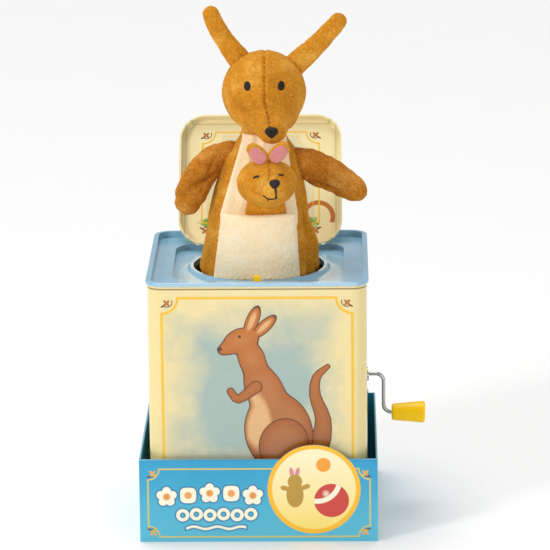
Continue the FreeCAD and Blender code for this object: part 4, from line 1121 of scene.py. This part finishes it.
ARMS = {
    "left": (
        [
            (-17.0, 0.0, 236.0, 6.6, 7.0), (-23.0, -1.0, 234.2, 8.2, 7.0), (-29.6, -3.0, 229.8, 9.4, 6.6),
            (-35.6, -5.0, 223.0, 10.0, 6.6), (-40.0, -7.0, 216.0, 10.3, 6.8), (-43.0, -8.5, 209.4, 9.8, 6.6),
            (-44.4, -9.5, 205.4, 8.6, 6.0),
        ],
        -0.021, 0.5,
    ),
    "right": (
        [
            (24.0, 0.0, 230.0, 8.6, 7.0), (32.0, -1.0, 227.8, 10.2, 7.0), (41.0, -3.0, 223.6, 10.9, 6.8),
            (50.0, -5.0, 219.2, 10.4, 6.8), (57.6, -6.5, 214.8, 9.0, 6.4), (61.6, -7.4, 212.2, 7.8, 5.8),
        ],
        0.021, 0.36,
    ),
}
for side, (stations, anchor_x, keep) in ARMS.items():
    arm = fuse("arm_" + side + "_plush", [limb("arm", stations)], voxel=1.1, smoothing=3)
    sculpt(arm, arm_relief)
    pile(arm)
    finish_piece(arm, "brown_plush", "arm_" + side, ("arm_" + side,))
    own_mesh(arm)


# ---- the baby --------------------------------------------------
BABY_AT = Vector((6.2, -39.6, 226.1))
BABY_SEAM_X = 8.4


def baby_relief(p):
    move = 0.45 * noise.noise(p / 8.0)
    if p.y < -40.0 and p.z > 229.0:
        move += groove(p.x - BABY_SEAM_X, 0.7, 0.9)
    return move


baby_head = fuse("baby_head_plush", [
    ball("face", BABY_AT + Vector((0.2, 0.0, -1.6)), (19.0, 15.2, 15.6)),
    ball("snout", (10.8, -49.0, 222.4), (9.5, 7.5, 8.4)),
], voxel=1.1, smoothing=7)
sculpt(baby_head, baby_relief)
pile(baby_head)
finish_piece(baby_head, "golden_plush", "baby", ("baby_head",))

baby_body = limb("baby_body_plush", [
    (5.4, -31.2, 186.0, 13.0, 4.4), (5.4, -31.4, 198.0, 13.4, 4.8), (5.6, -32.4, 210.0, 12.0, 5.2),
    (6.0, -34.0, 218.0, 9.0, 5.6),
])
pile(baby_body, levels=2)
finish_piece(baby_body, "golden_plush", "baby", ("baby_body",))
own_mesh(baby_body)

baby_seam = seam_stitches(
    "baby_seam_stitches", baby_head, lambda z: BABY_SEAM_X, [230.6 + 1.5 * n for n in range(5)]
)
finish_piece(baby_seam, "brown_plush", "baby")
baby_nose = stitched_patch(
    "baby_nose_stitching", baby_head, (11.6, 227.0), (3.5, 3.0), nose_outline, bulge=2.0
)
finish_piece(baby_nose, "black_thread", "baby", ("baby_nose",))


def stitch_line(name, host, points, radius=0.42):
    """A raised line of stitches over the host, through (x, z) points."""
    path = smooth_path([Vector((x, 0, z)) for x, z in points], 8)
    spots = [Vector((p.x, surface_y(host, p.x, p.z) - 0.25, p.z)) for p in path]
    stations = [(*p, radius * (1 + 0.25 * math.sin(n * 1.9)), radius) for n, p in enumerate(spots)]
    return limb(name, stations, steps=1, sides=8)


baby_face = joined("baby_face_stitching", [
    stitch_line("mouth_stem", baby_head, [(12.0, 225.4), (12.4, 221.6), (12.6, 218.0)], 0.55),
    stitch_line("smile", baby_head, [(12.6, 218.0), (9.4, 217.4), (6.6, 218.0), (4.6, 219.4)], 0.4),
    stitch_line("smile_kink", baby_head, [(8.0, 217.4), (7.2, 216.4)], 0.35),
    stitch_line("eye_left", baby_head, [(-1.4, 230.6), (0.2, 231.6), (1.6, 231.6)], 0.6),
    stitch_line("eye_right", baby_head, [(14.4, 232.4), (15.6, 231.9), (17.0, 232.1)], 0.55),
])
finish_piece(baby_face, "black_thread", "baby")

BABY_EARS = (((1.4, -43.5, 243.6), -46.0), ((13.8, -43.5, 244.6), 46.0))


def leaf(t):
    """Half width of a leaf with a blunt tip, t from its foot to its tip."""
    return 0.45 * (1 - t) ** 2 + 1.9 * t * (1 - t) * (0.75 + 0.5 * t) + 0.34 * t ** 4


def ear_form(name, centre, tilt, half, lift):
    """A leaf-shaped ear that stands on the head and leans by tilt degrees."""
    rings = []
    lean = Matrix.Rotation(math.radians(tilt), 3, "Y")
    for r in range(17):
        t = r / 16
        round_off = math.sqrt(max(0.02, 1 - (2 * t - 1) ** 8))
        reach = leaf(t) * round_off
        z = (t - 0.45) * 2 * half[2]
        ring = []
        for k in range(32):
            a = 2 * math.pi * k / 32
            cup = 0.9 * (math.cos(a) ** 2) * reach
            y = half[1] * round_off * math.sin(a) - cup + 0.05 * z
            p = Vector((half[0] * reach * math.cos(a), y, z))
            ring.append(Vector(centre) + lean @ p + Vector((0, -lift, 0)))
        rings.append(ring)
    return rings_mesh(name, rings)


baby_ears = joined("baby_ear_plush", [
    ear_form("ear", centre, tilt, (8.2, 2.3, 8.0), 0.0) for centre, tilt in BABY_EARS
])
baby_ears.modifiers.new("finer", "SUBSURF").levels = 2
pile(baked(baby_ears), depth=0.45, levels=0)
finish_piece(baby_ears, "golden_plush", "baby", ("baby_ears",))

linings = joined("baby_ear_felt", [
    ear_form("lining", (centre[0], centre[1], centre[2] - 0.9), tilt, (7.0, 1.5, 6.4), 1.5)
    for centre, tilt in BABY_EARS
])
linings.modifiers.new("finer", "SUBSURF").levels = 1
baked(linings)
finish_piece(linings, "pink_felt", "baby", ("baby_ear_linings",))


# ---- the skirt and the spring inside the box -------------------
def skirt_rings():
    rings = []
    for r in range(31):
        t = r / 30
        z = DISC_TOP + 0.4 + (TORSO_FOOT - DISC_TOP - 0.2) * t
        radius = 23.0 + (35.6 - 23.0) * t
        ring = []
        for k in range(120):
            a = 2 * math.pi * k / 120
            pleat = 1.6 * math.sin(a * 14 + 0.6 * math.sin(t * 9)) * (1.0 - 0.4 * t)
            gather = 0.9 * math.sin(t * 40)
            reach = radius + pleat + gather
            ring.append((reach * math.cos(a), reach * math.sin(a), z))
        rings.append(ring)
    return rings


skirt = rings_mesh("skirt_cloth", skirt_rings(), closed_ends=False)
hem = skirt.modifiers.new("thick", "SOLIDIFY")
hem.thickness = 1.0 * MM
baked(skirt)
finish_piece(skirt, "lining_cloth", "puppet", ("puppet_skirt",))
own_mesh(skirt)


def coil(name, radius, wire, z0, z1, turns, per_turn=40, sides=10):
    rings = []
    total = turns * per_turn
    for n in range(total + 1):
        t = n / total
        a = 2 * math.pi * turns * t
        squeeze = t - math.sin(2 * math.pi * t) * 0.02
        z = z0 + wire + (z1 - z0 - 2 * wire) * squeeze
        out = Vector((math.cos(a), math.sin(a), 0))
        centre = out * (radius - wire) + Vector((0, 0, z))
        rings.append([
            centre + out * (wire * math.cos(b)) + Vector((0, 0, wire * math.sin(b)))
            for b in (2 * math.pi * k / sides for k in range(sides))
        ])
    return rings_mesh(name, rings)


spring = coil("spring_coil", SPRING_R, 0.8, SPRING_FOOT, SPRING_TOP, 14)
finish_piece(spring, "steel_wire", "puppet", ("jack_spring",))
spring_height = SPRING_TOP - SPRING_FOOT
(spring_height - POP) / spring_height
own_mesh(spring)


# ---- camera, floor and light -----------------------------------
CAMERA_AZIMUTH, CAMERA_ELEVATION, CAMERA_ROLL = 1.059, 14.396, -0.54
CAMERA_DISTANCE = 2332.57
CAMERA_TARGET = Vector((10.288, 0.0, 154.642))
CAMERA_LENS, CAMERA_SENSOR = 237.9, 36.0


def make_camera():
    az, el, roll = (math.radians(a) for a in (CAMERA_AZIMUTH, CAMERA_ELEVATION, CAMERA_ROLL))
    back = Vector((math.sin(az) * math.cos(el), -math.cos(az) * math.cos(el), math.sin(el)))
    side = Vector((0, 0, 1)).cross(back).normalized()
    up = back.cross(side)
    right = side * math.cos(roll) + up * math.sin(roll)
    above = up * math.cos(roll) - side * math.sin(roll)
    data = bpy.data.cameras.new("camera")
    data.lens = CAMERA_LENS
    data.sensor_width = CAMERA_SENSOR
    data.clip_start, data.clip_end = 0.1, 50.0
    camera = bpy.data.objects.new("camera", data)
    bpy.context.scene.collection.objects.link(camera)
    turn = Matrix((right, above, back)).transposed().to_4x4()
    camera.matrix_world = Matrix.Translation((CAMERA_TARGET + back * CAMERA_DISTANCE) * MM) @ turn
    bpy.context.scene.camera = camera


def area_light(name, at, aim, size, power, colour=(1, 1, 1)):
    data = bpy.data.lights.new(name, "AREA")
    data.shape = "DISK"
    data.size, data.energy, data.color = size, power, colour
    light = bpy.data.objects.new(name, data)
    light.location = Vector(at)
    light.rotation_euler = (Vector(aim) - Vector(at)).to_track_quat("-Z", "Y").to_euler()
    bpy.context.scene.collection.objects.link(light)


def make_stage():
    half = 3000.0
    corners = [(-half, -half, 0), (half, -half, 0), (half, half, 0), (-half, half, 0)]
    floor = make("floor", corners, [(0, 1, 2, 3)])
    paint = Paint("floor", srgb(250, 250, 250), 0.8)
    paint.layer(srgb(244, 244, 244), paint.cloud(60.0, 2.0) * 0.3)
    floor.data.materials.append(paint.done())
    world = bpy.data.worlds.new("studio")
    bpy.context.scene.world = world
    world.use_nodes = True
    backdrop = world.node_tree.nodes["Background"]
    backdrop.inputs["Color"].default_value = (1.0, 1.0, 1.0, 1.0)
    backdrop.inputs["Strength"].default_value = 0.42
    aim = (0, 0, 0.16)
    area_light("key", (-1.5, -1.3, 1.0), aim, 0.5, 17.0, (1.0, 0.97, 0.92))
    area_light("glint", (1.3, -1.5, 0.5), aim, 0.5, 5.5)
    overhead = bpy.data.lights.new("overhead", "SUN")
    overhead.energy, overhead.angle = 1.75, math.radians(40)
    light = bpy.data.objects.new("overhead", overhead)
    light.rotation_euler = (math.radians(-12), math.radians(-8), 0)
    bpy.context.scene.collection.objects.link(light)


make_camera()
make_stage()
bpy.context.scene.view_settings.view_transform = "Standard"
